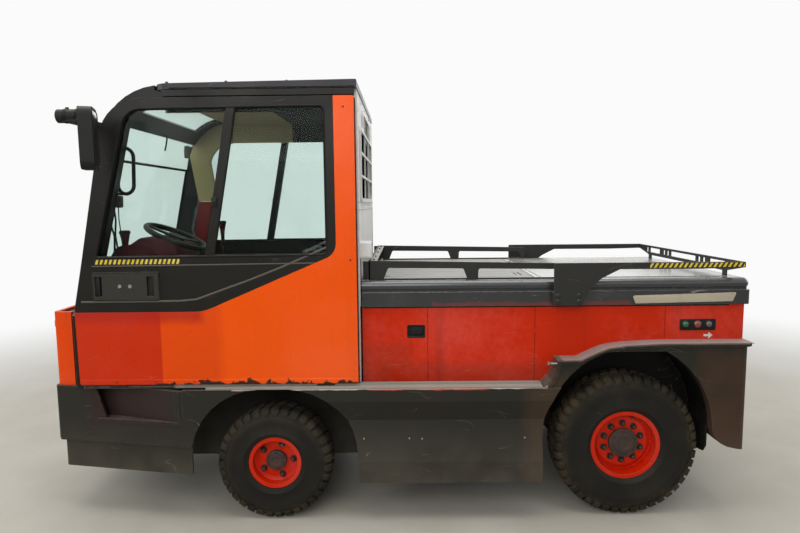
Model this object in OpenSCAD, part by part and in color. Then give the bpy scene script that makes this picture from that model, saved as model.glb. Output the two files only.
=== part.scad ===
// Battery-electric baggage tug with a closed two-seat cab and a railed load deck.
// +X is the travel direction, +Y the left side, Z = 0 the ground, lengths in mm.

/* [Overall] */
// Length from the front bumper to the tip of the rear coupling
overall_len = 3350; // [3250:10:3450]
// Width over the side skirts
overall_w = 1300; // [1280:5:1340]
// Height of the roof at its rear edge
overall_h = 2025; // [1990:5:2060]
// Distance between the axles
wheelbase = 1650; // [1630:5:1670]
// Front axle behind the front bumper face
front_overhang = 1071; // [1060:1:1082]
// Coupling tip behind the rear bumper face
hitch_out = 64; // [58:1:74]

/* [Wheels] */
// Front tyre diameter
front_tyre_d = 540; // [520:2:550]
// Front tyre width
front_tyre_w = 155; // [145:1:160]
// Rear tyre diameter
rear_tyre_d = 675; // [660:1:690]
// Rear tyre width
rear_tyre_w = 180; // [170:1:185]
// Front tyre outer face from the middle plane
front_face_y = 622; // [616:1:630]
// Rear tyre outer face from the middle plane
rear_face_y = 600; // [592:1:608]
// Front rim bead radius
front_bead_r = 114.3; // [110:0.1:118]
// Rear rim bead radius
rear_bead_r = 152.4; // [148:0.1:156]
// Kingpin from the middle plane
kingpin_y = 420; // [412:1:428]
// Kingpin radius
kingpin_r = 15; // [12:0.5:18]
// Running clearance of pins and spindles in their bores
run_fit = 0.08; // [0.05:0.01:0.1]
// Gap that seats loose-fitting neighbours
seat_gap = 0.3; // [0.2:0.05:0.5]

/* [Body] */
// Height of the side ledge over the skirts
ledge_z = 638; // [630:1:646]
// Underside of the side skirts
skirt_z = 188; // [180:1:200]
// Height of the load deck
deck_z = 1122; // [1112:1:1132]
// Top of the red body sides
body_z = 1002; // [995:1:1010]
// Red body side from the middle plane
body_y = 545; // [540:1:548]
// Deck band from the middle plane
band_y = 560; // [556:1:564]
// Sheet thickness of skirts and fenders
skirt_t = 10; // [8:1:12]
// Sheet thickness of the red body
body_t = 12; // [10:1:14]
// Radius of the half-round deck edge
edge_r = 26.5; // [24:0.5:28]
// Top of the rear fender flange
fender_z = 834; // [830:1:838]
// Wheel arch corner radius, front
arch_front_r = 330; // [320:2:340]
// Rear wheel arch radius, forward side
arch_nose_r = 450; // [446:1:454]
// Rear wheel arch radius, rear side
arch_tail_r = 410; // [406:1:414]
// Top of the rear wheel arch
arch_rear_z = 802; // [798:1:805]
// Battery from the tray's walls, front and rear
battery_gap = 58.5; // [50:0.5:64]
// Half width of the deck hatch opening
hatch_y = 490; // [480:1:494]

/* [Cab] */
// Cab rear wall behind the front bumper face
cab_len = 1481; // [1470:1:1490]
// Door outer face from the middle plane
door_y = 620; // [616:1:624]
// Door thickness
door_t = 34; // [30:1:38]
// Gap between door and cab side
door_gap = 8; // [6:1:10]
// Cab side frame thickness
frame_t = 48; // [42:1:54]
// Windscreen foot behind the front bumper face
foot_back = 158; // [152:1:164]
// Lean of the windscreen
rake = 11.9; // [10:0.1:13]
// Radius from windscreen to roof
brow_r = 300; // [280:5:320]
// Roof front height below its rear edge
roof_fall = 10; // [4:1:16]
// Depth of the roof's turned edge
roof_edge = 35; // [32:1:38]
// Top of the door below the roof's turned edge
door_drop = 36; // [33:1:39]
// Underside of the door
door_low_z = 658; // [656:1:662]
// Height of the door window sill
sill_z = 1245; // [1235:1:1255]
// Top of the orange lower door
waist_z = 998; // [990:1:1004]
// Glass thickness
glass_t = 6; // [5:0.5:7]
// Steering wheel diameter
wheel_d = 330; // [310:5:350]
// Height of the steering wheel's hub
wheel_z = 1320; // [1300:5:1340]
// Middle of the driver's place from the middle plane
seat_y = 250; // [240:1:260]
// Outside mirror clamp below the roof
mirror_drop = 175; // [165:1:185]

/* [Rails] */
// Height of the deck rails over the deck
rail_h = 90; // [84:1:96]
// Plate thickness of the rails
rail_t = 8; // [6:1:10]
// Front rail plate from the middle plane
rail_front_y = 513; // [508:1:518]
// Rear rail plate outer face from the middle plane
rail_rear_y = 605; // [600:1:610]

/* [Coupling] */
// Coupling pin radius
hitch_pin_r = 15; // [12:0.5:18]
// Radius of the pin hole in the front tow pocket
tow_hole_r = 13; // [11:0.5:15]
// Radial clearance of the coupling pin
hitch_fit = 0.1; // [0.05:0.01:0.1]

/* [Parts] */
// Part to build, or all

/* [Hidden] */
$fn = 48;
arc_n = 8;
x_front = overall_len / 2;
x_back = hitch_out - overall_len / 2;
axle_f = x_front - front_overhang;
axle_r = axle_f - wheelbase;
half_w = overall_w / 2;
cab_x = x_front - cab_len;
body_x = cab_x - 8;
foot_x = x_front - foot_back;
foot_z = 1007;
roof_front_z = overall_h - roof_fall;
door_in = door_y - door_t;
side_y = door_in - door_gap;
side_in = side_y - frame_t;
arch_f0 = axle_f - 396;
arch_f1 = axle_f + 377;
arch_f_z = ledge_z + 2;
arch_r0 = axle_r - 372;
arch_r1 = axle_r + 401;
tail = x_back + 27;
nose_x = axle_r + 398;
flange_x = axle_r - 133;
flange_t = 12;
front_z = front_tyre_d / 2;
rear_z = rear_tyre_d / 2;
top_x = foot_x - tan(rake) * (roof_front_z - foot_z);
brow_t = brow_r * tan((90 - rake) / 2);
brow_c = [top_x - brow_t, roof_front_z - brow_r];
brow_a = 84;
roof_x = brow_c[0] + brow_r * cos(brow_a);
roof_low = overall_h - roof_edge;
door_top_z = roof_low - door_drop;
mirror_z = overall_h - mirror_drop;
lip_z = door_top_z + 6;
window_top = door_top_z - 39;
guard_low = sill_z + 260;
guard_step = roof_low - 160;
guard_top = roof_low - 65;
tray_x0 = arch_r1 + 6;
tray_x1 = cab_x + 18;
tray_wall = 12;
tray_z = ledge_z - 308;
door_back = cab_x + 8;
door_foot = foot_x - 27;
hatch_x0 = arch_r1 + 7;
hatch_x1 = body_x - 66;
hinge_x = hatch_x1 + 8;
hinge_z = deck_z + 9;
rail_z = deck_z + rail_h;
hitch_x = x_back - hitch_out + 28;

function unit(v) = v / norm(v);
function xy(p) = [p[0], p[1]];
function corner(a, b, c, r) = r <= 0 ? [b] :
  let (u = unit(a - b), v = unit(c - b), g = acos(u * v), m = unit(u + v),
       o = b + m * r / sin(g / 2), p = b + u * r / tan(g / 2),
       q = b + v * r / tan(g / 2),
       s = atan2(p[1] - o[1], p[0] - o[0]), e = atan2(q[1] - o[1], q[0] - o[0]),
       d = (e - s + 540) % 360 - 180)
  [for (k = [0:arc_n]) o + r * [cos(s + d * k / arc_n), sin(s + d * k / arc_n)]];
function rounded(t) = [for (i = [0:len(t) - 1])
  let (n = len(t))
  each corner(xy(t[(i + n - 1) % n]), xy(t[i]), xy(t[(i + 1) % n]), t[i][2])];
function arc(c, r, a0, a1, n = 10) = [for (k = [0:n])
  let (a = a0 + (a1 - a0) * k / n) c + r * [cos(a), sin(a)]];
function foot_at(z) = foot_x - tan(rake) * (z - foot_z);

module shape(t) polygon(rounded(t));
module face_xz(y0, y1) translate([0, y1, 0]) rotate([90, 0, 0])
  linear_extrude(y1 - y0) children();
module face_xy(z0, z1) translate([0, 0, z0]) linear_extrude(z1 - z0) children();
module face_yz(x0, x1) translate([x0, 0, 0]) rotate([90, 0, 90])
  linear_extrude(x1 - x0) children();
module bar(x0, x1, y0, y1, z0, z1) translate([x0, y0, z0])
  cube([x1 - x0, y1 - y0, z1 - z0]);
module both() {
  children();
  mirror([0, 1, 0]) children();
}
module flip(s) {
  if (s > 0) children();
  else mirror([0, 1, 0]) children();
}
module across(x, z, y0, y1, r) translate([x, y0, z]) rotate([-90, 0, 0])
  cylinder(h = y1 - y0, r = r);

// Wheel arch openings as side outlines
module arch_front() shape([[arch_f0, 100, 0], [arch_f0, arch_f_z, arch_front_r],
  [arch_f1, arch_f_z, arch_front_r], [arch_f1, 100, 0]]);
module arch_rear(g = 0) {
  a = [arch_r0 + arch_tail_r, 437];
  b = [arch_r1 - arch_nose_r, 386];
  polygon(concat([[arch_r0 - g, 100]],
    arc(a, arch_tail_r + g, 180, 180 - asin((arch_rear_z + g - a[1]) / (arch_tail_r + g)), 14),
    arc(b, arch_nose_r + g, asin((arch_rear_z + g - b[1]) / (arch_nose_r + g)), 0, 14),
    [[arch_r1 + g, 100]]));
}

// Rear half of the ladder frame with the wide battery tray ahead of it
module chassis_frame() color("#2a2c2a") {
  x0 = tray_x0;
  x1 = tray_x1;
  t = tray_wall;
  w = body_y - 13;
  both() {
    bar(tail + 30, x0 + t, 220, 300, 400, 520);
    bar(x0, x1, w - t, w, tray_z, ledge_z - 8 - seat_gap);
  }
  bar(x0, x1, -w, w, tray_z, tray_z + t);
  bar(x1 - t, x1, -w, w, tray_z, ledge_z - 8 - seat_gap);
  bar(x0, x0 + t, -w, w, tray_z, ledge_z - 8 - seat_gap);
  bar(x0, x0 + t, -516, 516, 500, 800);
  bar(tail + 18, tail + 32, -380, 380, 340, 820);
  bar(axle_r - 260, axle_r - 200, -300, 300, 430, 490);
}

// Front half of the ladder frame with the inner wheelhouse plates
module front_frame() color("#2a2c2a") {
  x0 = tray_x1 + seat_gap;
  x1 = x_front - 230;
  both() {
    bar(x0, x1 + 8, 220, 300, 400, 520);
    difference() {
      bar(x0, x1 + 8, 298, 308, 190, ledge_z - 8);
      bar(axle_f - 70, axle_f + 120, 290, 320, 100, 345);
    }
  }
  bar(x1, x1 + 15, -480, 480, 240, ledge_z - 20);
  bar(axle_f - 220, axle_f - 160, -299, 299, 430, 490);
}

// Traction battery as one block
module battery_block() color("#3a3d40") {
  g = tray_wall + battery_gap;
  bar(tray_x0 + g, tray_x1 - g, -512, 512, tray_z + tray_wall, body_z - 33);
}

function bumper_plan(g, f = 0) = [[axle_f + 47, half_w - g, 0], [arch_f1 + 22, half_w - g, 60],
  [x_front - 17 - g - f, 534 - g, 18], [x_front - g - f, 0, 0],
  [x_front - 17 - g - f, g - 534, 18], [arch_f1 + 22, g - half_w, 60],
  [axle_f + 47, g - half_w, 0]];

// Front bumper with its side wings, step notches and inset lower band
module front_bumper() color("#3b3e3c") difference() {
  union() {
    face_xy(372, ledge_z - 6) difference() {
      shape(bumper_plan(0));
      shape(bumper_plan(16));
    }
    bar(axle_f + 47, arch_f1 + 30, half_w - 16, half_w, ledge_z - 120, ledge_z);
    bar(axle_f + 47, arch_f1 + 30, -half_w, 16 - half_w, ledge_z - 120, ledge_z);
    face_xy(232, 372) difference() {
      shape(bumper_plan(12, 10));
      shape(bumper_plan(28, 10));
    }
    face_xy(364, 380) difference() {
      shape(bumper_plan(2));
      shape(bumper_plan(40));
    }
    face_xy(ledge_z - 18, ledge_z - 6) intersection() {
      shape(bumper_plan(2));
      translate([x_front - 215, -700]) square([300, 1400]);
    }
    bar(x_front - 215, x_front - 203, -480, 480, 240, ledge_z - 6);
    both() {
      face_xy(470, ledge_z - 6) shape([[x_front - 212, 512, 0], [x_front - 212, 500, 0],
        [1030 + axle_f - 604, 622, 0], [1030 + axle_f - 604, half_w - 2, 0]]);
      face_xy(470, 485) shape([[x_front - 232, 576, 0], [x_front - 212, 505, 0],
        [1040 + axle_f - 604, 620, 0], [1040 + axle_f - 604, half_w - 2, 0]]);
    }
  }
  face_xz(-800, 800) arch_front();
  bar(x_front - 60, x_front + 10, -58, 58, 258, 322);
  both() difference() {
    face_xz(480, 800) shape([[x_front - 209, 700, 0], [x_front - 277, 485, 10],
      [1050 + axle_f - 604, 485, 4], [1050 + axle_f - 604, 700, 0]]);
    face_xy(100, 900) shape([[x_front - 210, 513, 0], [x_front - 210, 300, 0],
      [900, 300, 0], [900, half_w, 0], [1045 + axle_f - 604, half_w - 8, 0]]);
  }
}

// Front tow pocket behind the slot in the bumper
module front_tow_pocket() color("#2f2f2c") difference() {
  face_xy(242, 338) intersection() {
    shape(bumper_plan(28 + seat_gap, 10));
    translate([x_front - 154, -72]) square([140, 144]);
  }
  bar(x_front - 142, x_front, -60, 60, 258, 322);
  translate([x_front - 72, 0, 200]) cylinder(h = 148, r = tow_hole_r);
}

// Rigid beam with kingpin bosses
module front_axle() color("#242624") difference() {
  union() {
    bar(axle_f - 45, axle_f + 45, -kingpin_y, kingpin_y, front_z - 40, front_z + 40);
    both() {
      translate([axle_f, kingpin_y, front_z - 45]) cylinder(h = 90, r = 36);
      bar(axle_f - 60, axle_f + 60, 225, 295, front_z + 30, 400);
    }
    across(axle_f + 95, front_z, -210, 210, 30);
    bar(axle_f + 30, axle_f + 95, -120, -80, front_z - 30, front_z + 30);
    bar(axle_f + 30, axle_f + 95, 80, 120, front_z - 30, front_z + 30);
  }
  both() {
    translate([axle_f, kingpin_y, front_z - 60]) cylinder(h = 120, r = kingpin_r + run_fit);
    translate([axle_f - 60, kingpin_y + 36, front_z - 60]) cube([120, 60, 120]);
  }
}

spindle_f = 30;
spindle_r = 36;

// Steering knuckle with kingpin and wheel spindle
module knuckle() {
  d = front_face_y - front_tyre_w / 2;
  translate([axle_f, kingpin_y, front_z - 74]) cylinder(h = 148, r = kingpin_r);
  for (z = [front_z - 74, front_z + 48]) {
    bar(axle_f - 34, axle_f + 34, kingpin_y - 34, kingpin_y + 62, z, z + 26);
  }
  bar(axle_f - 34, axle_f + 34, kingpin_y + 44, kingpin_y + 62, front_z - 74, front_z + 74);
  across(axle_f, front_z, kingpin_y + 50, d - 11, spindle_f);
}
module knuckle_left() color("#2d2f2d") knuckle();
module knuckle_right() color("#2d2f2d") flip(-1) knuckle();

// Rear drive axle with motor, differential and brake plates
module rear_axle() color("#242624") {
  d = rear_face_y - rear_tyre_w / 2;
  across(axle_r, rear_z, -400, 400, 58);
  across(axle_r, rear_z, -120, 120, 135);
  translate([axle_r + 80, 0, rear_z]) rotate([0, 90, 0]) cylinder(h = 290, r = 105);
  both() {
    across(axle_r, rear_z, 392, 408, 125);
    across(axle_r, rear_z, 400, d - 12, spindle_r);
    bar(axle_r - 70, axle_r + 70, 225, 295, rear_z, 400);
  }
}

module wheel_axes(x, y, z) translate([x, y, z]) rotate([-90, 0, 0]) children();

module rim_front() {
  b = front_bead_r;
  difference() {
    rotate_extrude($fn = 40) polygon([[0, 31], [38, 31], [47, 25], [48, 8], [92, 6],
      [b - 8, 16], [b - 8, 58], [b + 10, 58], [b + 10, 51], [b, 49.9], [b, -50],
      [b + 10, -51], [b + 10, -58], [b - 8, -58], [b - 8, -6], [56, -6], [56, -42],
      [spindle_f + run_fit, -42], [spindle_f + run_fit, -10], [0, -10]]);
    for (k = [0:4]) {
      rotate([0, 0, 72 * k + 36]) translate([78, 0, -20]) cylinder(h = 60, r = 11, $fn = 20);
    }
  }
}
module rim_rear() {
  b = rear_bead_r;
  union() {
    rotate_extrude($fn = 40) polygon([[0, 46], [56, 46], [66, 40], [68, 22], [118, 20],
      [b - 10, 4], [b - 8, 10], [b - 8, 71], [b + 13, 71], [b + 13, 64], [b, 62.9], [b, -63],
      [b + 13, -64], [b + 13, -71], [b - 8, -71], [b - 8, -8], [118, 6], [66, 6], [66, -46],
      [spindle_r + run_fit, -46], [spindle_r + run_fit, -11], [0, -11]]);
    for (k = [0:9]) {
      rotate([0, 0, 36 * k + 18]) translate([90, 0, 15]) cylinder(h = 22, r = 9, $fn = 16);
    }
  }
}
module tyre(b, r, w, c, k) {
  rotate_extrude($fn = 36) polygon([[b + seat_gap, -c], [b + k, -c], [b + k + 3, -w + 15],
    [b + 40, -w + 3], [(b + r) / 2 + 12, -w], [r - 32, -w + 3], [r - 10, -w + 10],
    [r, -w + 24], [r, w - 24], [r - 10, w - 10], [r - 32, w - 3], [(b + r) / 2 + 12, w],
    [b + 40, w - 3], [b + k + 3, w - 15], [b + k, c], [b + seat_gap, c]]);
}
module wheel_f(s) flip(s)
  wheel_axes(axle_f, front_face_y - front_tyre_w / 2, front_z) children();
module wheel_r(s) flip(s)
  wheel_axes(axle_r, rear_face_y - rear_tyre_w / 2, rear_z) children();
module tyre_f() tyre(front_bead_r, front_tyre_d / 2, front_tyre_w / 2, 49.6, 11);
module tyre_r() tyre(rear_bead_r, rear_tyre_d / 2, rear_tyre_w / 2, 62.6, 14);
module tyre_front_left() color("#1f1f1f") wheel_f(1) tyre_f();
module tyre_front_right() color("#1f1f1f") wheel_f(-1) tyre_f();
module tyre_rear_left() color("#1f1f1f") wheel_r(1) tyre_r();
module tyre_rear_right() color("#1f1f1f") wheel_r(-1) tyre_r();
module rim_front_left() color("#c8321e") wheel_f(1) rim_front();
module rim_front_right() color("#c8321e") wheel_f(-1) rim_front();
module rim_rear_left() color("#c8321e") wheel_r(1) rim_rear();
module rim_rear_right() color("#c8321e") wheel_r(-1) rim_rear();

// Folded side skirt between the wheel arches
module skirt() {
  t = skirt_t;
  y = half_w;
  difference() {
    face_yz(arch_r1 - 130, axle_f - 66) shape([[y, ledge_z, 4], [y, ledge_z - 60, 4],
      [y - 36, ledge_z - 157, 6], [y - 6, 290, 6], [y - 6, skirt_z, 0],
      [y - 6 - t, skirt_z, 0], [y - 6 - t, 288, 4], [y - 36 - t, ledge_z - 157, 4],
      [y - t, ledge_z - 62, 2], [y - t, ledge_z - 8, 0], [520, ledge_z - 8, 0],
      [520, ledge_z, 0]]);
    face_xz(400, 800) arch_front();
    face_xz(400, 800) arch_rear();
    bar(arch_r1 - 200, arch_r1 + 2, 500, body_y + 8, 500, 800);
    bar(cab_x + 40, 1000, 500, 560, 500, 800);
  }
}
module skirt_left() color("#3b3e3c") skirt();
module skirt_right() color("#3b3e3c") flip(-1) skirt();

function fender_top(g = 0) = [[nose_x - g, ledge_z - g, 0],
  [nose_x - 34 - g, fender_z - 163 - g, 20], [nose_x - 56 - g, fender_z - 120, 20],
  [nose_x - 63 - g, fender_z - 74 - g, 8], [nose_x - 164, fender_z - 74 - g, 30],
  [nose_x - 239, fender_z - 38 - g, 60], [nose_x - 287, fender_z - 20 - g, 60],
  [nose_x - 366, fender_z - 8 - g, 60], [flange_x, fender_z - g, 0]];

// Rear fender with wheel tub, flange and wrapped rear corner
module fender() {
  y = half_w - 10;
  r = min(45, (y - body_y) / 2);
  foot = [[arch_r0 - 72, 351, 0], [arch_r0 - 41, 367, 20], [arch_r0 - 12, 399, 20]];
  union() {
    face_xz(y - skirt_t, y) difference() {
      shape(concat(fender_top(), [[tail + 50, fender_z, 0], [tail + 50, 341, 0]], foot,
        [[arch_r0 - 1, 431, 0], [axle_r, 431, 0], [axle_r, ledge_z, 0]]));
      arch_rear();
    }
    face_xz(400, y - 1) intersection() {
      difference() {
        arch_rear(6);
        arch_rear();
        translate([axle_r, 0]) square([500, ledge_z]);
      }
      shape(concat(fender_top(1), [[arch_r0 - 40, fender_z - 1, 0], [arch_r0 - 40, 431, 0],
        [nose_x - 1, 431, 0]]));
    }
    face_xz(400, y - 1) shape([[arch_r0 - 6, 436, 0], [arch_r0, 436, 0], [arch_r0 - 2, 428, 0],
      [arch_r0 - 19, 388, 30], [arch_r0 - 30, 376, 0], [arch_r0 - 34, 381, 0],
      [arch_r0 - 25, 391, 30], [arch_r0 - 7, 429, 0]]);
    face_xz(394, 404) intersection() {
      arch_rear(6);
      translate([arch_r0 - 40, 470]) square([arch_r1 - arch_r0 + 80, fender_z - 480]);
    }
    face_xz(body_y, half_w) difference() {
      shape(concat(fender_top(), [[tail + 50, fender_z, 0], [tail + 50, fender_z - flange_t, 0],
        [flange_x, fender_z - flange_t, 0], [flange_x, ledge_z, 0]]));
      shape(concat(fender_top(flange_t), [[flange_x, 500, 0], [nose_x - flange_t, 500, 0]]));
      arch_rear();
    }
    face_xy(fender_z - flange_t, fender_z) shape([[tail + 60, half_w, 0], [tail + 60, body_y, 0],
      [tail - 10, body_y, 0], [tail - 10, half_w, r]]);
    difference() {
      face_xy(310, fender_z - 2) difference() {
        shape([[tail + 60, y, 0], [tail + 60, body_y, 0], [tail + 5, body_y, 0],
          [tail + 5, y, r]]);
        shape([[tail + 70, y - skirt_t, 0], [tail + 70, body_y - 5, 0],
          [tail + 15, body_y - 5, 0], [tail + 15, y - skirt_t, r - 9]]);
      }
      face_xz(400, 800) shape([[tail - 10, 328, 0], [arch_r0 - 72, 351, 0],
        [arch_r0 - 72, 200, 0], [tail - 10, 200, 0]]);
    }
  }
}
module rear_fender_left() color("#3b3e3c") fender();
module rear_fender_right() color("#3b3e3c") flip(-1) fender();

// Rear cross plate between the fenders
module rear_bumper() color("#3b3e3c")
  bar(tail, tail + 18, -body_y, body_y, 340, fender_z - flange_t);

// Stepped rear coupling with three plates and a pin bore
module tow_coupling() color("#2f2f2c") difference() {
  union() {
    bar(tail - 14, tail, -95, 95, 345, 600);
    for (z = [370, 445, 520]) {
      face_xy(z, z + 20) shape([[tail - 10, 60, 0], [x_back - hitch_out, 60, 38],
        [x_back - hitch_out, -60, 38], [tail - 10, -60, 0]]);
    }
    both() bar(tail - 38, tail - 10, 56, 70, 360, 545);
  }
  translate([hitch_x, 0, 300]) cylinder(h = 300, r = hitch_pin_r + hitch_fit);
}

// Lift-out coupling pin with collar and grip
module tow_pin() color("#8a8a86") {
  translate([hitch_x, 0, 360]) cylinder(h = 220, r = hitch_pin_r);
  translate([hitch_x, 0, 540 + seat_gap]) cylinder(h = 12, r = 23);
  across(hitch_x, 585, -45, 45, 9);
}

// Side outline of the cab above the ledge, windscreen line and brow included
function cab_side() = concat([[foot_x - 8, ledge_z + 12], [foot_x, foot_z]],
  arc(brow_c, brow_r, rake, brow_a, 8), [[roof_x, roof_low], [cab_x + 40, roof_low],
  [cab_x + 40, ledge_z + 12]]);

// Cab side rings, brow, cowl and the upper door channels
module cab_frame() color("#262625") {
  both() {
    face_xz(side_in, side_y) difference() {
      polygon(cab_side());
      shape([[foot_x - 76, ledge_z + 60, 60], [foot_x - 84, 1010, 0],
        [top_x - 92, roof_low - 75, 120], [cab_x + 98, roof_low - 75, 30],
        [cab_x + 98, ledge_z + 60, 30]]);
    }
    face_xy(ledge_z - 6, 975) shape([[foot_x - 20, side_in + 2, 0], [foot_x - 20, side_y - 2, 0],
      [foot_x + 14, side_y - 2, 10], [x_front - 117, 524, 0], [x_front - 117, 506, 0],
      [foot_x + 6, 545, 0], [foot_x + 6, side_in + 2, 0]]);
    face_yz(door_back + 2, roof_x - 42) shape([[side_y - 1, lip_z, 0],
      [door_in + 6, lip_z, 0], [door_in + 6, lip_z + 4, 0],
      [side_y + 4, lip_z + 4, 0], [side_y + 4, roof_low - 7, 0],
      [door_y - 12, roof_low - 7, 0], [door_y - 12, lip_z + 4, 0],
      [door_y - 18, lip_z + 4, 0], [door_y - 18, lip_z, 0],
      [door_y - 8, lip_z, 0], [door_y - 8, roof_low - 3, 0],
      [side_y - 1, roof_low - 3, 0]]);
  }
  bar(foot_x - 16, foot_x + 2, -side_in - 4, side_in + 4, ledge_z + 14, foot_z + 1);
  face_xy(950, 973) shape([[foot_x - 2, 512, 0], [foot_x - 2, -512, 0], [x_front - 117, -510, 0],
    [x_front - 46, -496, 14], [x_front - 46, 496, 14], [x_front - 117, 510, 0]]);
  difference() {
    face_xz(-side_in - 4, side_in + 4) polygon(concat(
      arc(brow_c, brow_r - 3, 30, brow_a - 0.2, 14), arc(brow_c, brow_r - 24, brow_a - 0.7, 30, 14)));
    face_xz(-400, 400) polygon(concat(arc(brow_c, brow_r + 20, 49, 80, 8),
      arc(brow_c, brow_r - 60, 80, 49, 8)));
  }
}

// Roof panel with its turned edge over the doors
module cab_roof() color("#4a4b50") {
  w = door_y - 8;
  intersection() {
    face_xz(-w, w) shape([[cab_x - 4, roof_low, 0], [cab_x - 4, overall_h, 6],
      [roof_x - seat_gap, roof_front_z, 0], [roof_x - seat_gap, roof_low, 0]]);
    face_xy(roof_low - 10, overall_h + 10) shape([[cab_x - 20, w + 5, 0], [cab_x - 20, -w - 5, 0],
      [cab_x + 60, -w, 0], [roof_x - seat_gap, -w, 72], [roof_x - seat_gap, w, 72],
      [cab_x + 60, w, 0]]);
  }
}
module roof_window() color("#8fa8a0", 0.5)
  face_xz(-400 + seat_gap, 400 - seat_gap) polygon(concat(arc(brow_c, brow_r - 6, 49.1, 79.9),
    arc(brow_c, brow_r - 6 - glass_t, 79.9, 49.1)));
module windshield() color("#8fa8a0", 0.5)
  face_xz(seat_gap - side_in, side_in - seat_gap) polygon(concat(
    [[foot_at(foot_z + 1 + seat_gap) - 2 - glass_t, foot_z + 1 + seat_gap],
     [foot_at(foot_z + 1 + seat_gap) - 2, foot_z + 1 + seat_gap]],
    arc(brow_c, brow_r - 2, rake, 29.9, 6), arc(brow_c, brow_r - 2 - glass_t, 29.9, rake, 6)));

function rear_opening(g = 0) = [[-430 + g, guard_low + g, 30], [430 - g, guard_low + g, 30],
  [430 - g, guard_step - g, 30], [250 - g, guard_step - g, 0], [250 - g, guard_top - g, 30],
  [-250 + g, guard_top - g, 30], [-250 + g, guard_step - g, 0], [-430 + g, guard_step - g, 30]];

// Cab rear wall with stepped window opening and a socket box
module cab_rear_wall() color("#c9cbc8") {
  w = side_y - 2;
  face_yz(cab_x, cab_x + 40) difference() {
    translate([-w, ledge_z + 12]) square([2 * w, roof_low - ledge_z - 12]);
    shape(rear_opening());
  }
  face_yz(cab_x - 55, cab_x + 2) shape([[455, sill_z - 19, 12], [535, sill_z - 19, 12],
    [535, sill_z + 61, 12], [455, sill_z + 61, 12]]);
}
module rear_window() color("#8fa8a0", 0.5)
  face_yz(cab_x + 18, cab_x + 18 + glass_t) shape(rear_opening(seat_gap));
module window_guard() color("#dedfdc") {
  face_yz(cab_x - 10, cab_x) difference() {
    shape(rear_opening(-18));
    shape(rear_opening(2));
  }
  for (y = [-150, 150]) {
    bar(cab_x - 10, cab_x - 2, y - 6, y + 6, guard_low - 5, guard_top + 5);
  }
  for (z = [guard_low + 107, guard_low + 217, guard_step]) {
    bar(cab_x - 10, cab_x - 2, -435, 435, z - 6, z + 6);
  }
}

// Cab floor plate with the long door rails along both sides
module cab_floor() color("#55524c") {
  w = body_y + 12;
  bar(cab_x, x_front - 215, -w - 5, w + 5, ledge_z, ledge_z + 12);
  both() {
    bar(arch_r1 + 5, x_front - 772, w, half_w - 5, ledge_z, ledge_z + 8);
    bar(x_front - 780, foot_x - 37, w, door_y - 9, ledge_z, ledge_z + 8);
    bar(arch_r1 + 5, foot_x - 37, door_y - 16, door_y - 12, ledge_z, ledge_z + 17);
  }
}

module steer_axis() translate([foot_x - 365, seat_y, wheel_z]) rotate([0, -24, 0]) children();

// Dashboard with raised binnacle
module dashboard() color("#4b1c1e") difference() {
  union() {
    face_xz(seat_gap - side_in, side_in - seat_gap) shape([[foot_x - 16.3, wheel_z - 320, 0],
      [foot_x - 60, wheel_z - 140, 20], [foot_x - 150, wheel_z - 120, 30],
      [foot_x - 200, wheel_z - 200, 20], [foot_x - 90, wheel_z - 420, 0],
      [foot_x - 16.3, wheel_z - 420, 0]]);
    face_xz(seat_y - 180, seat_y + 200) shape([[foot_x - 70, wheel_z - 170, 0],
      [foot_x - 150, wheel_z - 30, 60], [foot_x - 300, wheel_z - 20, 80],
      [foot_x - 420, wheel_z - 140, 40], [foot_x - 380, wheel_z - 230, 30],
      [foot_x - 120, wheel_z - 260, 0]]);
  }
  steer_axis() translate([0, 0, -150 - seat_gap]) cylinder(h = 220, r = 25);
  steer_axis() translate([0, 0, -30]) cylinder(h = 100, r = wheel_d / 2 + 12);
}

// Steering wheel on its column
module steering_wheel() color("#1d1d1c") {
  steer_axis() {
    rotate_extrude() translate([wheel_d / 2 - 14, 0]) circle(r = 14, $fn = 20);
    translate([0, 0, -16]) cylinder(h = 26, r = 42);
    for (k = [0:2]) {
      rotate([0, 0, 120 * k]) translate([20, -14, -8]) cube([wheel_d / 2 - 36, 28, 10]);
    }
    translate([0, 0, -150]) cylinder(h = 140, r = 24);
  }
}

// Low-back seat on its box
module seat() {
  x = cab_x + 250;
  z = ledge_z + 212;
  union() {
    bar(x - 40, x + 330, seat_y - 180, seat_y + 180, ledge_z + 12, z);
    face_xz(seat_y - 210, seat_y + 210) shape([[x - 20, z, 20], [x + 400, z, 30],
      [x + 410, z + 100, 50], [x - 20, z + 85, 30]]);
    face_xz(seat_y - 200, seat_y + 200) shape([[x - 60, z + 30, 20], [x + 20, z + 50, 20],
      [x - 10, z + 430, 40], [x - 110, z + 425, 40]]);
  }
}
module driver_seat() color("#2a2a2c") seat();
module passenger_seat() color("#2a2a2c") flip(-1) seat();

// Orange nose with headlamp bowls and grille slots
module nose_panel() color("#e14a14") difference() {
  union() {
    face_xy(ledge_z - 6, 985) difference() {
      shape([[x_front - 115, 534, 0], [x_front - 22, 520, 20], [x_front - 11, 0, 0],
        [x_front - 22, -520, 20], [x_front - 115, -534, 0]]);
      shape([[x_front - 135, 514, 0], [x_front - 42, 500, 12], [x_front - 31, 0, 0],
        [x_front - 42, -500, 12], [x_front - 135, -514, 0]]);
    }
    both() translate([x_front - 45, 370, 800]) rotate([0, 90, 0]) cylinder(h = 36, r = 84);
  }
  both() translate([x_front - 23, 370, 800]) rotate([0, 90, 0]) cylinder(h = 60, r = 74);
  for (z = [700:30:850]) {
    bar(x_front - 100, x_front, -230, 230, z, z + 14);
  }
}

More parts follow.
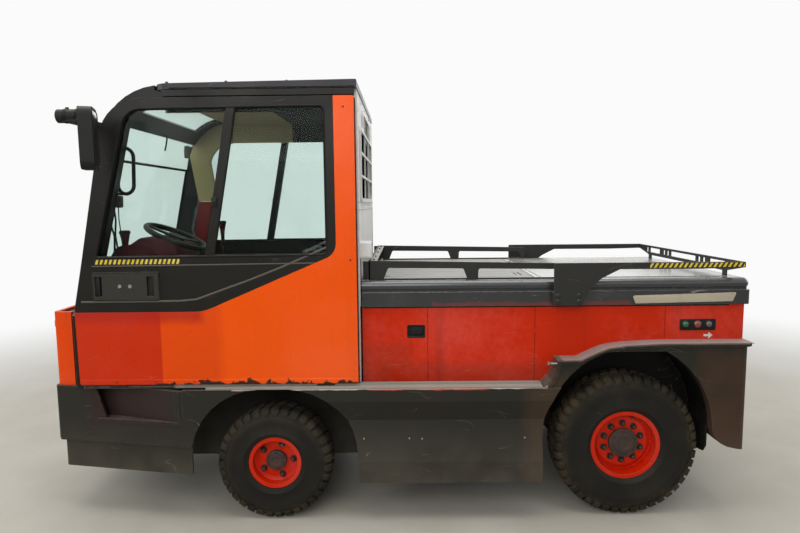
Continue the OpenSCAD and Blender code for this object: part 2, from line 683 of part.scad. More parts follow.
// Outline of the whole door
function door_side() = [[door_foot, door_low_z, 10], [door_foot + 5, 1000, 0],
  [foot_at(door_top_z) - 12, door_top_z, 200], [door_back, door_top_z, 12],
  [door_back, door_low_z, 10]];
// Line between the orange lower door and the black upper door
function waist(g) = [[door_foot + 60, waist_z + g, 0], [x_front - 770, waist_z + g, 200],
  [door_back + 92, 1257 + g, 70], [door_back + 92, door_top_z + 60, 0]];
function window_side(g = 0) = [[foot_at(sill_z) - 79 - g, sill_z + g, 14],
  [foot_at(window_top - 10) - 110 - g, window_top - 7 - g, 90],
  [door_back + 132 + g, window_top - g, 25],
  [door_back + 132 + g, sill_z + 5 + g, 25]];

module door_panel() {
  union() {
    face_xz(door_in, door_y) difference() {
      shape(door_side());
      shape(concat(waist(-seat_gap), [[door_foot + 60, door_top_z + 60, 0]]));
    }
    for (x = [cab_x + 120, cab_x + 1080]) {
      difference() {
        bar(x, x + 80, door_in + 4, door_y - 2, ledge_z + 10, door_low_z + 2);
        bar(x - 5, x + 85, door_y - 16.8, door_y - 11.2, ledge_z, ledge_z + 18);
      }
    }
  }
}
module door_panel_left() color("#e14a14") door_panel();
module door_panel_right() color("#e14a14") flip(-1) door_panel();

// Black upper door with window surround, sliding-pane stile and handle plate
module door_frame() {
  hx = x_front - 576;
  difference() {
    union() {
      face_xz(door_in, door_y - 3) difference() {
        intersection() {
          shape(door_side());
          shape(concat(waist(0), [[door_foot + 60, door_top_z + 60, 0]]));
        }
        shape(window_side());
      }
      face_xz(door_y - 14, door_y - 3) shape([[foot_at(sill_z) - 580, sill_z - 10, 0],
        [foot_at(sill_z) - 616, sill_z - 10, 0], [foot_at(window_top - 5) - 600, window_top + 5, 0],
        [foot_at(window_top - 5) - 564, window_top + 5, 0]]);
      face_xz(door_y - 6, door_y + 3) shape([[hx, 1052, 8], [hx, 1182, 8],
        [hx + 306, 1182, 8], [hx + 306, 1052, 8]]);
      bar(roof_x - 100, roof_x - 55, side_y + 16, side_y + 22, door_top_z - 10, lip_z + 16);
      bar(roof_x - 100, roof_x - 55, side_y + 10, side_y + 28, lip_z + 5, lip_z + 16);
    }
    for (x = [hx + 24, hx + 261]) {
      bar(x, x + 33, door_y - 16, door_y + 20, 1071, 1162);
    }
  }
}
module door_frame_left() color("#2c2b2a") door_frame();
module door_frame_right() color("#2c2b2a") flip(-1) door_frame();

module door_glass() face_xz(door_y - 14 - seat_gap - glass_t, door_y - 14 - seat_gap)
  shape(window_side(seat_gap));
module door_glass_left() color("#8fa8a0", 0.5) door_glass();
module door_glass_right() color("#8fa8a0", 0.5) flip(-1) door_glass();

// Side mirror on its outrigger
module mirror_arm() {
  x = foot_at(mirror_z - 40);
  difference() {
    union() {
      bar(x - 10, x + 34, side_in + 4, side_in + 40, mirror_z - 70, mirror_z - 10);
      face_xy(mirror_z - 24, mirror_z + 8) shape([[x + 8, side_in + 10, 0], [x + 34, side_in + 10, 0],
        [x + 40, 822, 26], [x - 80, 826, 0], [x - 80, 800, 0], [x + 14, 796, 14]]);
      translate([x - 30, 800, mirror_z]) rotate([0, 90, 0]) cylinder(h = 86, r = 28);
      translate([x - 61, 796, 0]) rotate([0, 0, 20]) face_yz(-26, 26)
        shape([[-86, mirror_z - 218, 34], [84, mirror_z - 220, 34], [88, mirror_z + 32, 34],
          [-86, mirror_z + 34, 34]]);
    }
    face_xz(400, 640) polygon(cab_side());
  }
}
module mirror_left() color("#262625") mirror_arm();
module mirror_right() color("#262625") flip(-1) mirror_arm();

function body_plan(g) = [[body_x, body_y - g, 0], [body_x, g - body_y, 0],
  [x_back + 17 + g, g - body_y, max(10 - g, 1)], [x_back + 17 + g, body_y - g, max(10 - g, 1)]];

// Red rear body around the battery bay and the rear end
module rear_body() color("#c8321e") difference() {
  union() {
    difference() {
      face_xy(ledge_z, body_z) difference() {
        shape(body_plan(0));
        shape(concat([[body_x + 40, body_y - body_t, 0], [body_x + 40, body_t - body_y, 0]],
          [[x_back + 17 + body_t, body_t - body_y, 3], [x_back + 17 + body_t, body_y - body_t, 3]]));
      }
      face_xz(-800, 800) shape(concat([[nose_x, 500, 0]], fender_top(),
        [[x_back - 50, fender_z, 0], [x_back - 50, 500, 0]]));
    }
    both() face_xz(body_y - 4, half_w - 12) difference() {
      shape(concat(fender_top(-seat_gap - 2), [[x_back + 19, fender_z + seat_gap + 2, 0],
        [x_back + 19, 560, 0]]));
      shape(concat(fender_top(-seat_gap), [[x_back + 10, fender_z + seat_gap, 0],
        [x_back + 10, 500, 0]]));
    }
    both() {
      bar(x_back + 152, x_back + 315, body_y - 3, body_y + 4, 880, 930);
      for (x = [x_back + 185, x_back + 237, x_back + 293]) {
        across(x, 908, body_y, body_y + 10, 13);
      }
    }
    both() bar(x_back + 10, x_back + 20, 380, 490, 880, 950);
  }
  both() {
    for (x = [axle_r + 425, body_x - 306]) {
      bar(x - 1.5, x + 1.5, body_y - 2, body_y + 20, 500, 1100);
    }
    bar(axle_r - 181.5, axle_r - 178.5, body_y - 2, body_y + 20, fender_z + 8, 1100);
    bar(body_x - 289, body_x - 214, body_y - 8, body_y + 20, 857, 909);
  }
}

function deck_plan(g) = [[body_x, band_y - g, 0], [body_x, g - band_y, 0],
  [x_back + g, g - band_y, max(20 - g, 1)], [x_back + g, band_y - g, max(20 - g, 1)]];

// Deck rim with dark band, half-round edge and hatch opening
module deck_edge() color("#45484a") {
  z = deck_z - edge_r + 1;
  y = band_y - 5 - edge_r;
  x = x_back + 28;
  face_xy(body_z, z - edge_r - 1) difference() {
    shape(deck_plan(0));
    shape(deck_plan(14));
  }
  face_xy(body_z, deck_z - 24) difference() {
    shape(deck_plan(12));
    shape(deck_plan(24));
  }
  face_xy(deck_z - 1, deck_z + 3) shape([[x_back + 81, -480, 40], [hatch_x0 - 25, -480, 10],
    [hatch_x0 - 25, 480, 10], [x_back + 81, 480, 40]]);
  face_xy(deck_z - 26, deck_z - 12) difference() {
    shape(deck_plan(14));
    shape([[hatch_x0 + 15, 15 - hatch_y, 0], [hatch_x0 + 15, hatch_y - 15, 0],
      [hatch_x1 - 15, hatch_y - 15, 0], [hatch_x1 - 15, 15 - hatch_y, 0]]);
  }
  face_xy(deck_z - 14, deck_z) difference() {
    shape([[body_x, y, 0], [body_x, -y, 0], [x, -y, 0], [x, y, 0]]);
    shape([[hatch_x0, -hatch_y, 0], [hatch_x0, hatch_y, 0], [hatch_x1, hatch_y, 0],
      [hatch_x1, -hatch_y, 0]]);
  }
  both() {
    translate([x, y, z]) rotate([0, 90, 0]) cylinder(h = body_x - x, r = edge_r, $fn = 32);
    translate([x, y, z]) sphere(r = edge_r, $fn = 32);
    bar(hinge_x - 8, hinge_x + 8, 380, 440, deck_z - 4, hinge_z);
    across(hinge_x, hinge_z, 380, 440, 8);
  }
  across(x, z, -y, y, edge_r);
  across(hinge_x, hinge_z, -440, 440, 4);
}

// Deck hatch over the battery, hinged at the cab end
module battery_lid() color("#6f7070") difference() {
  union() {
    face_xy(deck_z - 12 + seat_gap, deck_z) shape([[hatch_x0 + 5, 5 - hatch_y, 4],
      [hatch_x0 + 5, hatch_y - 5, 4], [hatch_x1 - 5, hatch_y - 5, 4],
      [hatch_x1 - 5, 5 - hatch_y, 4]]);
    both() {
      across(hinge_x, hinge_z, 290, 374, 8);
      bar(hatch_x1 - 60, hinge_x, 290, 374, deck_z + seat_gap, deck_z + 4);
      bar(hatch_x1 - 60, hatch_x1 - 10, 290, 374, deck_z - 1, deck_z + 1);
    }
  }
  across(hinge_x, hinge_z, -460, 460, 4 + run_fit);
  for (y = [-300, 230]) {
    bar(hatch_x0 + 40, hatch_x0 + 75, y, y + 130, deck_z - 7, deck_z + 5);
  }
}

// Cut-plate rails around the front half of the deck
module front_rail() color("#3b3e3c") {
  x0 = hatch_x0 - 140;
  x1 = body_x - 31;
  both() face_xz(rail_front_y - rail_t, rail_front_y) difference() {
    shape([[x1, deck_z, 0], [x1, rail_z + 2, 6], [x0, rail_z - 18, 6], [x0, deck_z, 0]]);
    shape([[x1 - 72, deck_z + 7, 0], [x1 - 92, rail_z - 33, 10], [x1 - 445, rail_z - 38, 10],
      [x1 - 462, deck_z + 7, 0]]);
    shape([[x1 - 514, deck_z + 7, 0], [x1 - 516, rail_z - 39, 10], [x0 + 36, rail_z - 45, 10],
      [x0 + 18, deck_z + 7, 0]]);
  }
  face_yz(x1 - 8, x1) difference() {
    shape([[1 - rail_front_y, deck_z, 0], [rail_front_y - 1, deck_z, 0],
      [rail_front_y - 1, rail_z + 2, 0], [1 - rail_front_y, rail_z + 2, 0]]);
    shape([[-430, deck_z + 8, 10], [430, deck_z + 8, 10], [400, rail_z - 32, 12],
      [-400, rail_z - 32, 12]]);
    for (y = [-465, 465]) {
      translate([y, deck_z + 50]) circle(r = 7, $fn = 24);
    }
  }
}

// Cut-plate rails around the rear half of the deck
module rear_rail() color("#3b3e3c") {
  x0 = x_back + 56;
  x1 = axle_r + 353;
  both() {
    face_xz(rail_rear_y - 10, rail_rear_y) shape([[x1, body_z + 7, 0], [x1, rail_z - 8, 8],
      [x0, rail_z - 9, 8], [x0, rail_z - 35, 6], [x0 + 203, rail_z - 39, 60],
      [axle_r + 57, rail_z - 38, 20], [axle_r + 138, rail_z - 79, 30],
      [axle_r + 186, rail_z - 120, 30], [axle_r + 226, body_z + 7, 0]]);
    bar(axle_r + 230, x1, band_y, rail_rear_y - 9, body_z + 8, body_z + 66);
    bar(x0, x0 + 8, 420, 452, deck_z, rail_z - 60);
  }
  face_yz(x0, x0 + 8) difference() {
    shape([[1 - rail_rear_y, rail_z - 34, 0], [-440, rail_z - 67, 60], [440, rail_z - 67, 60],
      [rail_rear_y - 1, rail_z - 34, 0], [rail_rear_y - 1, rail_z - 10, 0],
      [1 - rail_rear_y, rail_z - 10, 0]]);
    for (t = [[-490, 30], [-440, 150], [-250, 30], [-200, 30], [-150, 300], [170, 30],
      [220, 30], [290, 150], [460, 30]]) {
      shape([[t[0], rail_z - 50, 5], [t[0] + t[1], rail_z - 50, 5],
        [t[0] + t[1], rail_z - 22, 5], [t[0], rail_z - 22, 5]]);
    }
  }
}

chassis_frame();
front_frame();
battery_block();
front_bumper();
front_tow_pocket();
front_axle();
rear_axle();
skirt_left();
skirt_right();
rear_fender_left();
rear_fender_right();
rear_bumper();
tow_coupling();
tow_pin();
cab_frame();
cab_roof();
roof_window();
windshield();
cab_rear_wall();
rear_window();
window_guard();
cab_floor();
dashboard();
steering_wheel();
driver_seat();
passenger_seat();
nose_panel();
door_panel_left();
door_panel_right();
door_frame_left();
door_frame_right();
door_glass_left();
door_glass_right();
mirror_left();
mirror_right();
rear_body();
deck_edge();
battery_lid();
front_rail();
rear_rail();
knuckle_left();
knuckle_right();
tyre_front_left();
tyre_front_right();
tyre_rear_left();
tyre_rear_right();
rim_front_left();
rim_front_right();
rim_rear_left();
rim_rear_right();
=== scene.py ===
"""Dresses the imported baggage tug: paint and wear, glass, treaded tyres, lamps, cab fittings and cushions."""

import logging
import math
from dataclasses import dataclass, field
from enum import Enum
from typing import Iterable, Sequence, Union

import bmesh
import bpy
from mathutils import Matrix, Vector


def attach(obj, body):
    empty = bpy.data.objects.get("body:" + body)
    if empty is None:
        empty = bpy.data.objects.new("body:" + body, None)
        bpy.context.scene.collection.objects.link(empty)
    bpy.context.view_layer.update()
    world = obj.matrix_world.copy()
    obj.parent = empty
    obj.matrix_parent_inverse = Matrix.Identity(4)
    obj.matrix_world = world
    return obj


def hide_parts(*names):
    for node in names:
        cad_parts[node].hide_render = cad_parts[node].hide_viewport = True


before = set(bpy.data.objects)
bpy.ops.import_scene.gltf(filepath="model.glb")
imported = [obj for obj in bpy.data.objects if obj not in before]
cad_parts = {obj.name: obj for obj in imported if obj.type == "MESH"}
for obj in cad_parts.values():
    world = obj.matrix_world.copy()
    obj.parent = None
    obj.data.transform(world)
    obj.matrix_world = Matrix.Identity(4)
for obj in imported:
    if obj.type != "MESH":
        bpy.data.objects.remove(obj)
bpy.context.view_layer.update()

LOG = logging.getLogger("tug")
MM = 0.001
Point = Sequence[float]
Value = Union[float, Sequence[float], bpy.types.NodeSocket]


class Side(Enum):
    """Side of the tug, with the sign of its Y."""

    LEFT = 1
    RIGHT = -1

    @property
    def word(self) -> str:
        """The side's name as the part's nodes spell it."""
        return self.name.lower()


class Axis(Enum):
    """Direction in which an outline is drawn out into a solid."""

    X = 0
    Y = 1
    Z = 2

    def at(self, point: "Point", level: float) -> tuple[float, float, float]:
        """Puts a point of an outline at a level of the axis."""
        a, b = point
        return {Axis.X: (level, a, b), Axis.Y: (a, level, b), Axis.Z: (a, b, level)}[self]


class Body(str, Enum):
    """Bodies of the tug that carry pieces."""

    TUG = "tug"
    DOOR_LEFT = "door_left"
    DOOR_RIGHT = "door_right"
    LID = "lid"
    WHEEL_FRONT_LEFT = "wheel_front_left"
    WHEEL_FRONT_RIGHT = "wheel_front_right"
    WHEEL_REAR_LEFT = "wheel_rear_left"
    WHEEL_REAR_RIGHT = "wheel_rear_right"


def srgb(code: str, alpha: float = 1.0) -> tuple[float, float, float, float]:
    """Turns a colour written as #rrggbb into the linear values a shader takes.

    Args:
        code: The colour as it looks on screen.
        alpha: Fourth value of the result.

    Returns:
        Linear red, green, blue and alpha.
    """
    parts = [int(code[i:i + 2], 16) / 255 for i in (1, 3, 5)]
    linear = [p / 12.92 if p <= 0.04045 else ((p + 0.055) / 1.055) ** 2.4 for p in parts]
    return (linear[0], linear[1], linear[2], alpha)


# Node graphs


class Graph:
    """Writes shader nodes into one node tree."""

    def __init__(self, tree: bpy.types.NodeTree) -> None:
        """Keeps the tree that the nodes go into."""
        self.tree = tree

    def add(self, kind: str, inputs: dict[Union[str, int], Value] | None = None,
            out: Union[str, int] = 0, **settings: object) -> bpy.types.NodeSocket:
        """Adds one node.

        Args:
            kind: Blender's name of the node type.
            inputs: A value or a socket for each named or numbered input.
            out: Which output to return.
            **settings: Properties of the node itself.

        Returns:
            The chosen output socket.
        """
        node = self.tree.nodes.new(kind)
        for name, value in settings.items():
            setattr(node, name, value)
        for key, value in (inputs or {}).items():
            self.set(node.inputs[key], value)
        return node.outputs[out]

    def finish(self, kind: str, surface: bpy.types.NodeSocket) -> None:
        """Ends the tree in an output node of a kind."""
        self.set(self.tree.nodes.new(kind).inputs["Surface"], surface)

    def set(self, socket: bpy.types.NodeSocket, value: Value) -> None:
        """Links a socket to value, or stores value in it.

        Args:
            socket: The socket to fill.
            value: A socket to link, or a plain value.
        """
        if isinstance(value, bpy.types.NodeSocket):
            self.tree.links.new(value, socket)
        else:
            socket.default_value = value

    def math(self, operation: str, a: Value, b: Value = 0.0, clamp: bool = False) -> bpy.types.NodeSocket:
        """Adds a Math node and returns its result."""
        return self.add("ShaderNodeMath", {0: a, 1: b}, operation=operation, use_clamp=clamp)

    def times(self, a: Value, b: Value, clamp: bool = False) -> bpy.types.NodeSocket:
        """Multiplies two values."""
        return self.math("MULTIPLY", a, b, clamp)

    def plus(self, a: Value, b: Value, clamp: bool = False) -> bpy.types.NodeSocket:
        """Adds two values up."""
        return self.math("ADD", a, b, clamp)

    def vector(self, operation: str, a: Value, b: Value = (0.0, 0.0, 0.0)) -> bpy.types.NodeSocket:
        """Adds a Vector Math node and returns its vector."""
        return self.add("ShaderNodeVectorMath", {0: a, 1: b}, operation=operation)

    def span(self, value: Value, low: Value, high: Value, start: float = 0.0,
             end: float = 1.0) -> bpy.types.NodeSocket:
        """Maps value smoothly from low..high to start..end and clamps it there."""
        return self.add("ShaderNodeMapRange", {0: value, 1: low, 2: high, 3: start, 4: end},
                        interpolation_type="SMOOTHSTEP")

    def mix(self, factor: Value, a: Value, b: Value, blend: str = "MIX") -> bpy.types.NodeSocket:
        """Mixes two colours and returns the mixed one."""
        return self.add("ShaderNodeMix", {0: factor, 6: a, 7: b}, out=2, data_type="RGBA", blend_type=blend)

    def place(self, group: bpy.types.NodeTree, inputs: dict[Union[str, int], Value]) -> bpy.types.NodeSocket:
        """Places a shared effect and returns its first output.

        Args:
            group: The effect.
            inputs: A value or a socket for each named input.

        Returns:
            The effect's first output.
        """
        node = self.tree.nodes.new("ShaderNodeGroup")
        node.node_tree = group
        for key, value in inputs.items():
            self.set(node.inputs[key], value)
        return node.outputs[0]

    def noise(self, scale: Value, detail: float = 3.0, where: Value | None = None,
              roughness: float = 0.5) -> bpy.types.NodeSocket:
        """Adds noise in the piece's own coordinates and returns its factor.

        Args:
            scale: How many waves to the metre.
            detail: Octaves.
            where: Coordinates, if not the piece's own.
            roughness: Share of the fine octaves.

        Returns:
            The noise's factor.
        """
        where = self.coordinates() if where is None else where
        return self.add("ShaderNodeTexNoise", {"Scale": scale, "Detail": detail, "Roughness": roughness,
                                               "Vector": where})

    def bump(self, height: Value, strength: float, distance: float,
             edges: bpy.types.Node | None = None) -> bpy.types.NodeSocket:
        """Adds a Bump node, over the rounded edges where their node is given, and returns its normal.

        Args:
            height: The height.
            strength: Share of the height that shows.
            distance: Depth in metres.
            edges: Node of the edge wear, whose normal it starts from.

        Returns:
            The normal.
        """
        inputs: dict[Union[str, int], Value] = {"Height": height, "Strength": strength, "Distance": distance}
        if edges is not None:
            inputs["Normal"] = edges.outputs["Normal"]
        return self.add("ShaderNodeBump", inputs)

    def parts(self, vector: Value | None = None) -> Sequence[bpy.types.NodeSocket]:
        """Splits a vector, or else the piece's own coordinates, into its three parts."""
        source = self.coordinates() if vector is None else vector
        return self.add("ShaderNodeSeparateXYZ", {0: source}).node.outputs

    def coordinates(self) -> bpy.types.NodeSocket:
        """The piece's own coordinates, in metres."""
        return self.add("ShaderNodeTexCoord", out="Object")


class Effects:
    """The effects that several finishes share, each built once as a node group."""

    def __init__(self) -> None:
        """Builds every effect."""
        self.made: dict[str, bpy.types.Material] = {}
        self.edge_wear = self._edge_wear()
        self.dust = self._dust()
        self.scratches = self._scratches()
        self.drift = self._drift()
        self.grain = self._grain()
        self.patch = self._patch()
        self.streaks = self._streaks()

    def _start(self, name: str, inputs: dict[str, Value],
               outputs: dict[str, str]) -> tuple[Graph, dict[str, bpy.types.NodeSocket], bpy.types.Node]:
        """Starts a node group.

        Args:
            name: Name of the group.
            inputs: Default of each input; a number, a three-part vector or a four-part colour.
            outputs: Socket type word of each output: Float, Color or Vector.

        Returns:
            The graph, its input sockets by name, and its output node.
        """
        tree = bpy.data.node_groups.new(name, "ShaderNodeTree")
        for label, default in inputs.items():
            word = "Float" if isinstance(default, float) else ("Vector" if len(default) == 3 else "Color")
            socket = tree.interface.new_socket(name=label, in_out="INPUT", socket_type=f"NodeSocket{word}")
            socket.default_value = default
        for label, word in outputs.items():
            tree.interface.new_socket(name=label, in_out="OUTPUT", socket_type=f"NodeSocket{word}")
        entry = tree.nodes.new("NodeGroupInput")
        leave = tree.nodes.new("NodeGroupOutput")
        return Graph(tree), {s.name: s for s in entry.outputs if s.name}, leave

    def _edge_wear(self) -> bpy.types.NodeTree:
        """Rubbed edges: a mask that follows edges in broken runs, and a normal that rounds them.

        Returns:
            The effect's node group.
        """
        g, given, leave = self._start("Edge wear", {"Radius": 0.003, "Breakup": 30.0, "Amount": 0.4},
                                      {"Mask": "Float", "Normal": "Vector"})
        soft = g.add("ShaderNodeBevel", {"Radius": given["Radius"]}, samples=4)
        plain = g.add("ShaderNodeNewGeometry", out="Normal")
        bend = g.math("SUBTRACT", 1.0, g.add("ShaderNodeVectorMath", {0: soft, 1: plain}, out="Value",
                                             operation="DOT_PRODUCT"))
        edge = g.span(bend, 0.01, 0.2)
        broken = g.noise(given["Breakup"], 5.0)
        level = g.times(edge, g.plus(broken, 0.25))
        low = g.math("SUBTRACT", 0.8, g.times(given["Amount"], 0.6))
        g.set(leave.inputs["Mask"], g.span(level, low, g.plus(low, 0.12)))
        g.set(leave.inputs["Normal"], soft)
        return g.tree

    def _dust(self) -> bpy.types.NodeTree:
        """Dust that lies on what faces up and clings low down.

        Returns:
            The effect's node group.
        """
        g, given, leave = self._start("Dust", {"Up": 0.5, "Low": 0.3, "Height": 0.7, "Scale": 6.0},
                                      {"Mask": "Float"})
        facing = g.parts(g.add("ShaderNodeNewGeometry", out="Normal"))[2]
        height = g.parts()[2]
        cloud = g.noise(given["Scale"], 6.0)
        lying = g.times(g.span(facing, 0.3, 0.95), given["Up"])
        clinging = g.times(g.span(height, given["Height"], 0.0), given["Low"])
        total = g.plus(lying, clinging)
        g.set(leave.inputs["Mask"], g.times(total, g.span(cloud, 0.25, 0.7, 0.35, 1.0), clamp=True))
        return g.tree

    def _scratches(self) -> bpy.types.NodeTree:
        """Thin handling scratches, mostly level, in scattered places.

        Returns:
            The effect's node group.
        """
        g, given, leave = self._start("Scratches", {"Scale": 6.0, "Amount": 0.4}, {"Mask": "Float"})
        stretched = g.vector("MULTIPLY", g.coordinates(), (0.35, 0.35, 2.4))
        bent = g.vector("ADD", stretched, g.vector("MULTIPLY", g.add(
            "ShaderNodeTexNoise", {"Vector": g.coordinates(), "Scale": 4.0}, out="Color"), (0.12, 0.12, 0.5)))
        lines = g.add("ShaderNodeTexVoronoi", {"Vector": bent, "Scale": given["Scale"]},
                      feature="DISTANCE_TO_EDGE")
        places = g.span(g.noise(9.0, 3.0), 0.56, 0.66)
        g.set(leave.inputs["Mask"], g.times(g.span(lines, 0.006, 0.0), g.times(places, given["Amount"])))
        return g.tree

    def _drift(self) -> bpy.types.NodeTree:
        """Slow change of a colour over a surface: fading, polish and stains.

        Returns:
            The effect's node group.
        """
        g, given, leave = self._start("Colour drift", {"Color": (0.5, 0.5, 0.5, 1.0), "Scale": 2.0,
                                                       "Spread": 0.15}, {"Color": "Color"})
        broad = g.noise(given["Scale"], 4.0)
        fine = g.noise(45.0, 3.0)
        blended = g.plus(g.times(broad, 0.8), g.times(fine, 0.2))
        offset = g.times(g.math("SUBTRACT", blended, 0.5), given["Spread"])
        light = g.plus(1.0, g.times(offset, 2.0))
        full = g.math("SUBTRACT", 1.0, offset)
        g.set(leave.inputs["Color"], g.add("ShaderNodeHueSaturation", {
            "Color": given["Color"], "Value": light, "Saturation": full}))
        return g.tree

    def _grain(self) -> bpy.types.NodeTree:
        """Fine surface texture with slow dents under it, as a height.

        Returns:
            The effect's node group.
        """
        g, given, leave = self._start("Grain", {"Fine": 600.0, "Dents": 3.0, "Share": 0.5}, {"Height": "Float"})
        fine = g.noise(given["Fine"], 2.0)
        slow = g.noise(given["Dents"], 1.0)
        rest = g.math("SUBTRACT", 1.0, given["Share"])
        g.set(leave.inputs["Height"], g.plus(g.times(fine, given["Share"]), g.times(g.times(slow, 6.0), rest)))
        return g.tree

    def _patch(self) -> bpy.types.NodeTree:
        """A box-shaped area of the surface with a soft or ragged border, as a mask.

        Returns:
            The effect's node group.
        """
        g, given, leave = self._start("Patch", {
            "Centre": (0.0, 0.0, 0.0), "Half": (1.0, 1.0, 1.0), "Soft": 0.004, "Ragged": 0.0, "Scale": 12.0},
            {"Mask": "Float"})
        away = g.vector("SUBTRACT", g.vector("ABSOLUTE", g.vector(
            "SUBTRACT", g.coordinates(), given["Centre"])), given["Half"])
        parts = g.parts(away)
        outside = g.math("MAXIMUM", g.math("MAXIMUM", parts[0], parts[1]), parts[2])
        torn = g.noise(given["Scale"], 6.0, roughness=0.62)
        shift = g.times(g.math("SUBTRACT", torn, 0.5), given["Ragged"])
        g.set(leave.inputs["Mask"], g.add("ShaderNodeMapRange", {
            0: g.plus(outside, shift), 1: given["Soft"], 2: 0.0, 3: 0.0, 4: 1.0}))
        return g.tree

    def _streaks(self) -> bpy.types.NodeTree:
        """Runs of dirt that water has drawn down a wall.

        Returns:
            The effect's node group.
        """
        g, given, leave = self._start("Streaks", {"Scale": 9.0, "Amount": 0.3}, {"Mask": "Float"})
        tall = g.vector("MULTIPLY", g.coordinates(), (1.0, 1.0, 0.12))
        runs = g.noise(given["Scale"], 5.0, where=tall, roughness=0.6)
        g.set(leave.inputs["Mask"], g.times(g.span(runs, 0.5, 0.78), given["Amount"]))
        return g.tree


# Finishes


@dataclass(frozen=True)
class Patch:
    """A part of a painted surface that has another colour."""

    low: tuple[float, float, float]
    high: tuple[float, float, float]
    colour: str
    soft: float = 0.004
    ragged: float = 0.0
    scale: float = 12.0
    strength: float = 1.0


@dataclass(frozen=True)
class Finish:
    """Base of every finish: it makes its material once, on first use."""

    name: str

    def material(self, effects: Effects) -> bpy.types.Material:
        """Returns this finish as a material.

        Args:
            effects: The shared effects.

        Returns:
            The material, made new on the first call.
        """
        if self.name in effects.made:
            return effects.made[self.name]
        made = effects.made[self.name] = bpy.data.materials.new(f"finish_{self.name}")
        made.use_nodes = True
        made.node_tree.nodes.clear()
        graph = Graph(made.node_tree)
        shader = graph.add("ShaderNodeBsdfPrincipled")
        self.write(graph, shader.node, effects)
        graph.finish("ShaderNodeOutputMaterial", shader)
        return made

    def write(self, g: Graph, shader: bpy.types.Node, effects: Effects) -> None:
        """Writes the finish's nodes round the shader."""
        raise NotImplementedError

    @staticmethod
    def fill(g: Graph, shader: bpy.types.Node, values: dict[str, Value]) -> None:
        """Sets or links inputs of the shader by name."""
        for key, value in values.items():
            g.set(shader.inputs[key], value)


@dataclass(frozen=True)
class Paint(Finish):
    """Sheet-metal paint with fading, worn edges, scratches, streaks and dust."""

    colour: str = "#808080"
    under: str = "#3a3733"
    rough: float = 0.35
    spread: float = 0.16
    wear: float = 0.35
    marks: float = 0.35
    runs: float = 0.18
    up: float = 0.25
    low: float = 0.15
    gloss: float = 0.16
    coat: float = 0.0
    edge: float = 0.003
    low_height: float = 0.7
    dust_colour: str = "#8f8879"
    dirt_colour: str = "#2b2622"
    relief: float = 0.0004
    patches: tuple[Patch, ...] = ()

    def write(self, g: Graph, shader: bpy.types.Node, effects: Effects) -> None:
        """Writes the paint's nodes round the shader.

        Args:
            g: Graph of the material.
            shader: The material's shader.
            effects: The shared effects.
        """
        colour: Value = srgb(self.colour)
        for patch in self.patches:
            centre = tuple((a + b) / 2 for a, b in zip(patch.low, patch.high))
            half = tuple((b - a) / 2 for a, b in zip(patch.low, patch.high))
            mask = g.place(effects.patch, {"Centre": centre, "Half": half, "Soft": patch.soft,
                                           "Ragged": patch.ragged, "Scale": patch.scale})
            if patch.strength < 1.0:
                mask = g.times(mask, patch.strength)
            colour = g.mix(mask, colour, srgb(patch.colour))
        colour = g.place(effects.drift, {"Color": colour, "Scale": 2.2, "Spread": self.spread})
        runs = g.place(effects.streaks, {"Scale": 10.0, "Amount": self.runs})
        colour = g.mix(runs, colour, srgb(self.dirt_colour))
        marks = g.place(effects.scratches, {"Scale": 7.0, "Amount": self.marks})
        colour = g.mix(marks, colour, srgb("#a79d92"))
        edges = g.place(effects.edge_wear, {"Radius": self.edge, "Breakup": 38.0, "Amount": self.wear}).node
        colour = g.mix(edges.outputs["Mask"], colour, srgb(self.under))
        dust = g.place(effects.dust, {"Up": self.up, "Low": self.low, "Height": self.low_height, "Scale": 7.0})
        colour = g.mix(dust, colour, srgb(self.dust_colour))
        worn = g.plus(g.times(dust, 0.5), g.times(edges.outputs["Mask"], 0.2))
        patchy = g.span(g.noise(5.0, 4.0), 0.3, 0.7, self.rough - 0.05, self.rough + 0.09)
        height = g.place(effects.grain, {"Fine": 420.0, "Dents": 2.6, "Share": 0.25})
        self.fill(g, shader, {
            "Base Color": colour, "Roughness": g.plus(patchy, worn, clamp=True),
            "Normal": g.bump(height, 0.35, self.relief, edges), "Specular IOR Level": self.gloss,
            "Coat Weight": self.coat, "Coat Roughness": 0.12})


@dataclass(frozen=True)
class Steel(Finish):
    """Bare or thinly coated metal: brushed, stained and slightly rusty."""

    colour: str = "#8b8a86"
    rough: float = 0.38
    metallic: float = 0.9
    rust: float = 0.15
    rust_colour: str = "#5a3520"

    def write(self, g: Graph, shader: bpy.types.Node, effects: Effects) -> None:
        """Writes the metal's nodes round the shader.

        Args:
            g: Graph of the material.
            shader: The material's shader.
            effects: The shared effects.
        """
        stain = g.span(g.noise(18.0, 6.0, roughness=0.65), 0.62 - self.rust * 0.4, 0.78 - self.rust * 0.3)
        colour = g.place(effects.drift, {"Color": srgb(self.colour), "Scale": 9.0, "Spread": 0.2})
        colour = g.mix(stain, colour, srgb(self.rust_colour))
        edges = g.place(effects.edge_wear, {"Radius": 0.0015, "Breakup": 60.0, "Amount": 0.4}).node
        height = g.place(effects.grain, {"Fine": 700.0, "Dents": 12.0, "Share": 0.5})
        self.fill(g, shader, {
            "Base Color": colour, "Roughness": g.span(stain, 0.0, 1.0, self.rough, 0.85),
            "Metallic": g.span(stain, 0.0, 1.0, self.metallic, 0.1),
            "Normal": g.bump(height, 0.4, 0.0003, edges)})


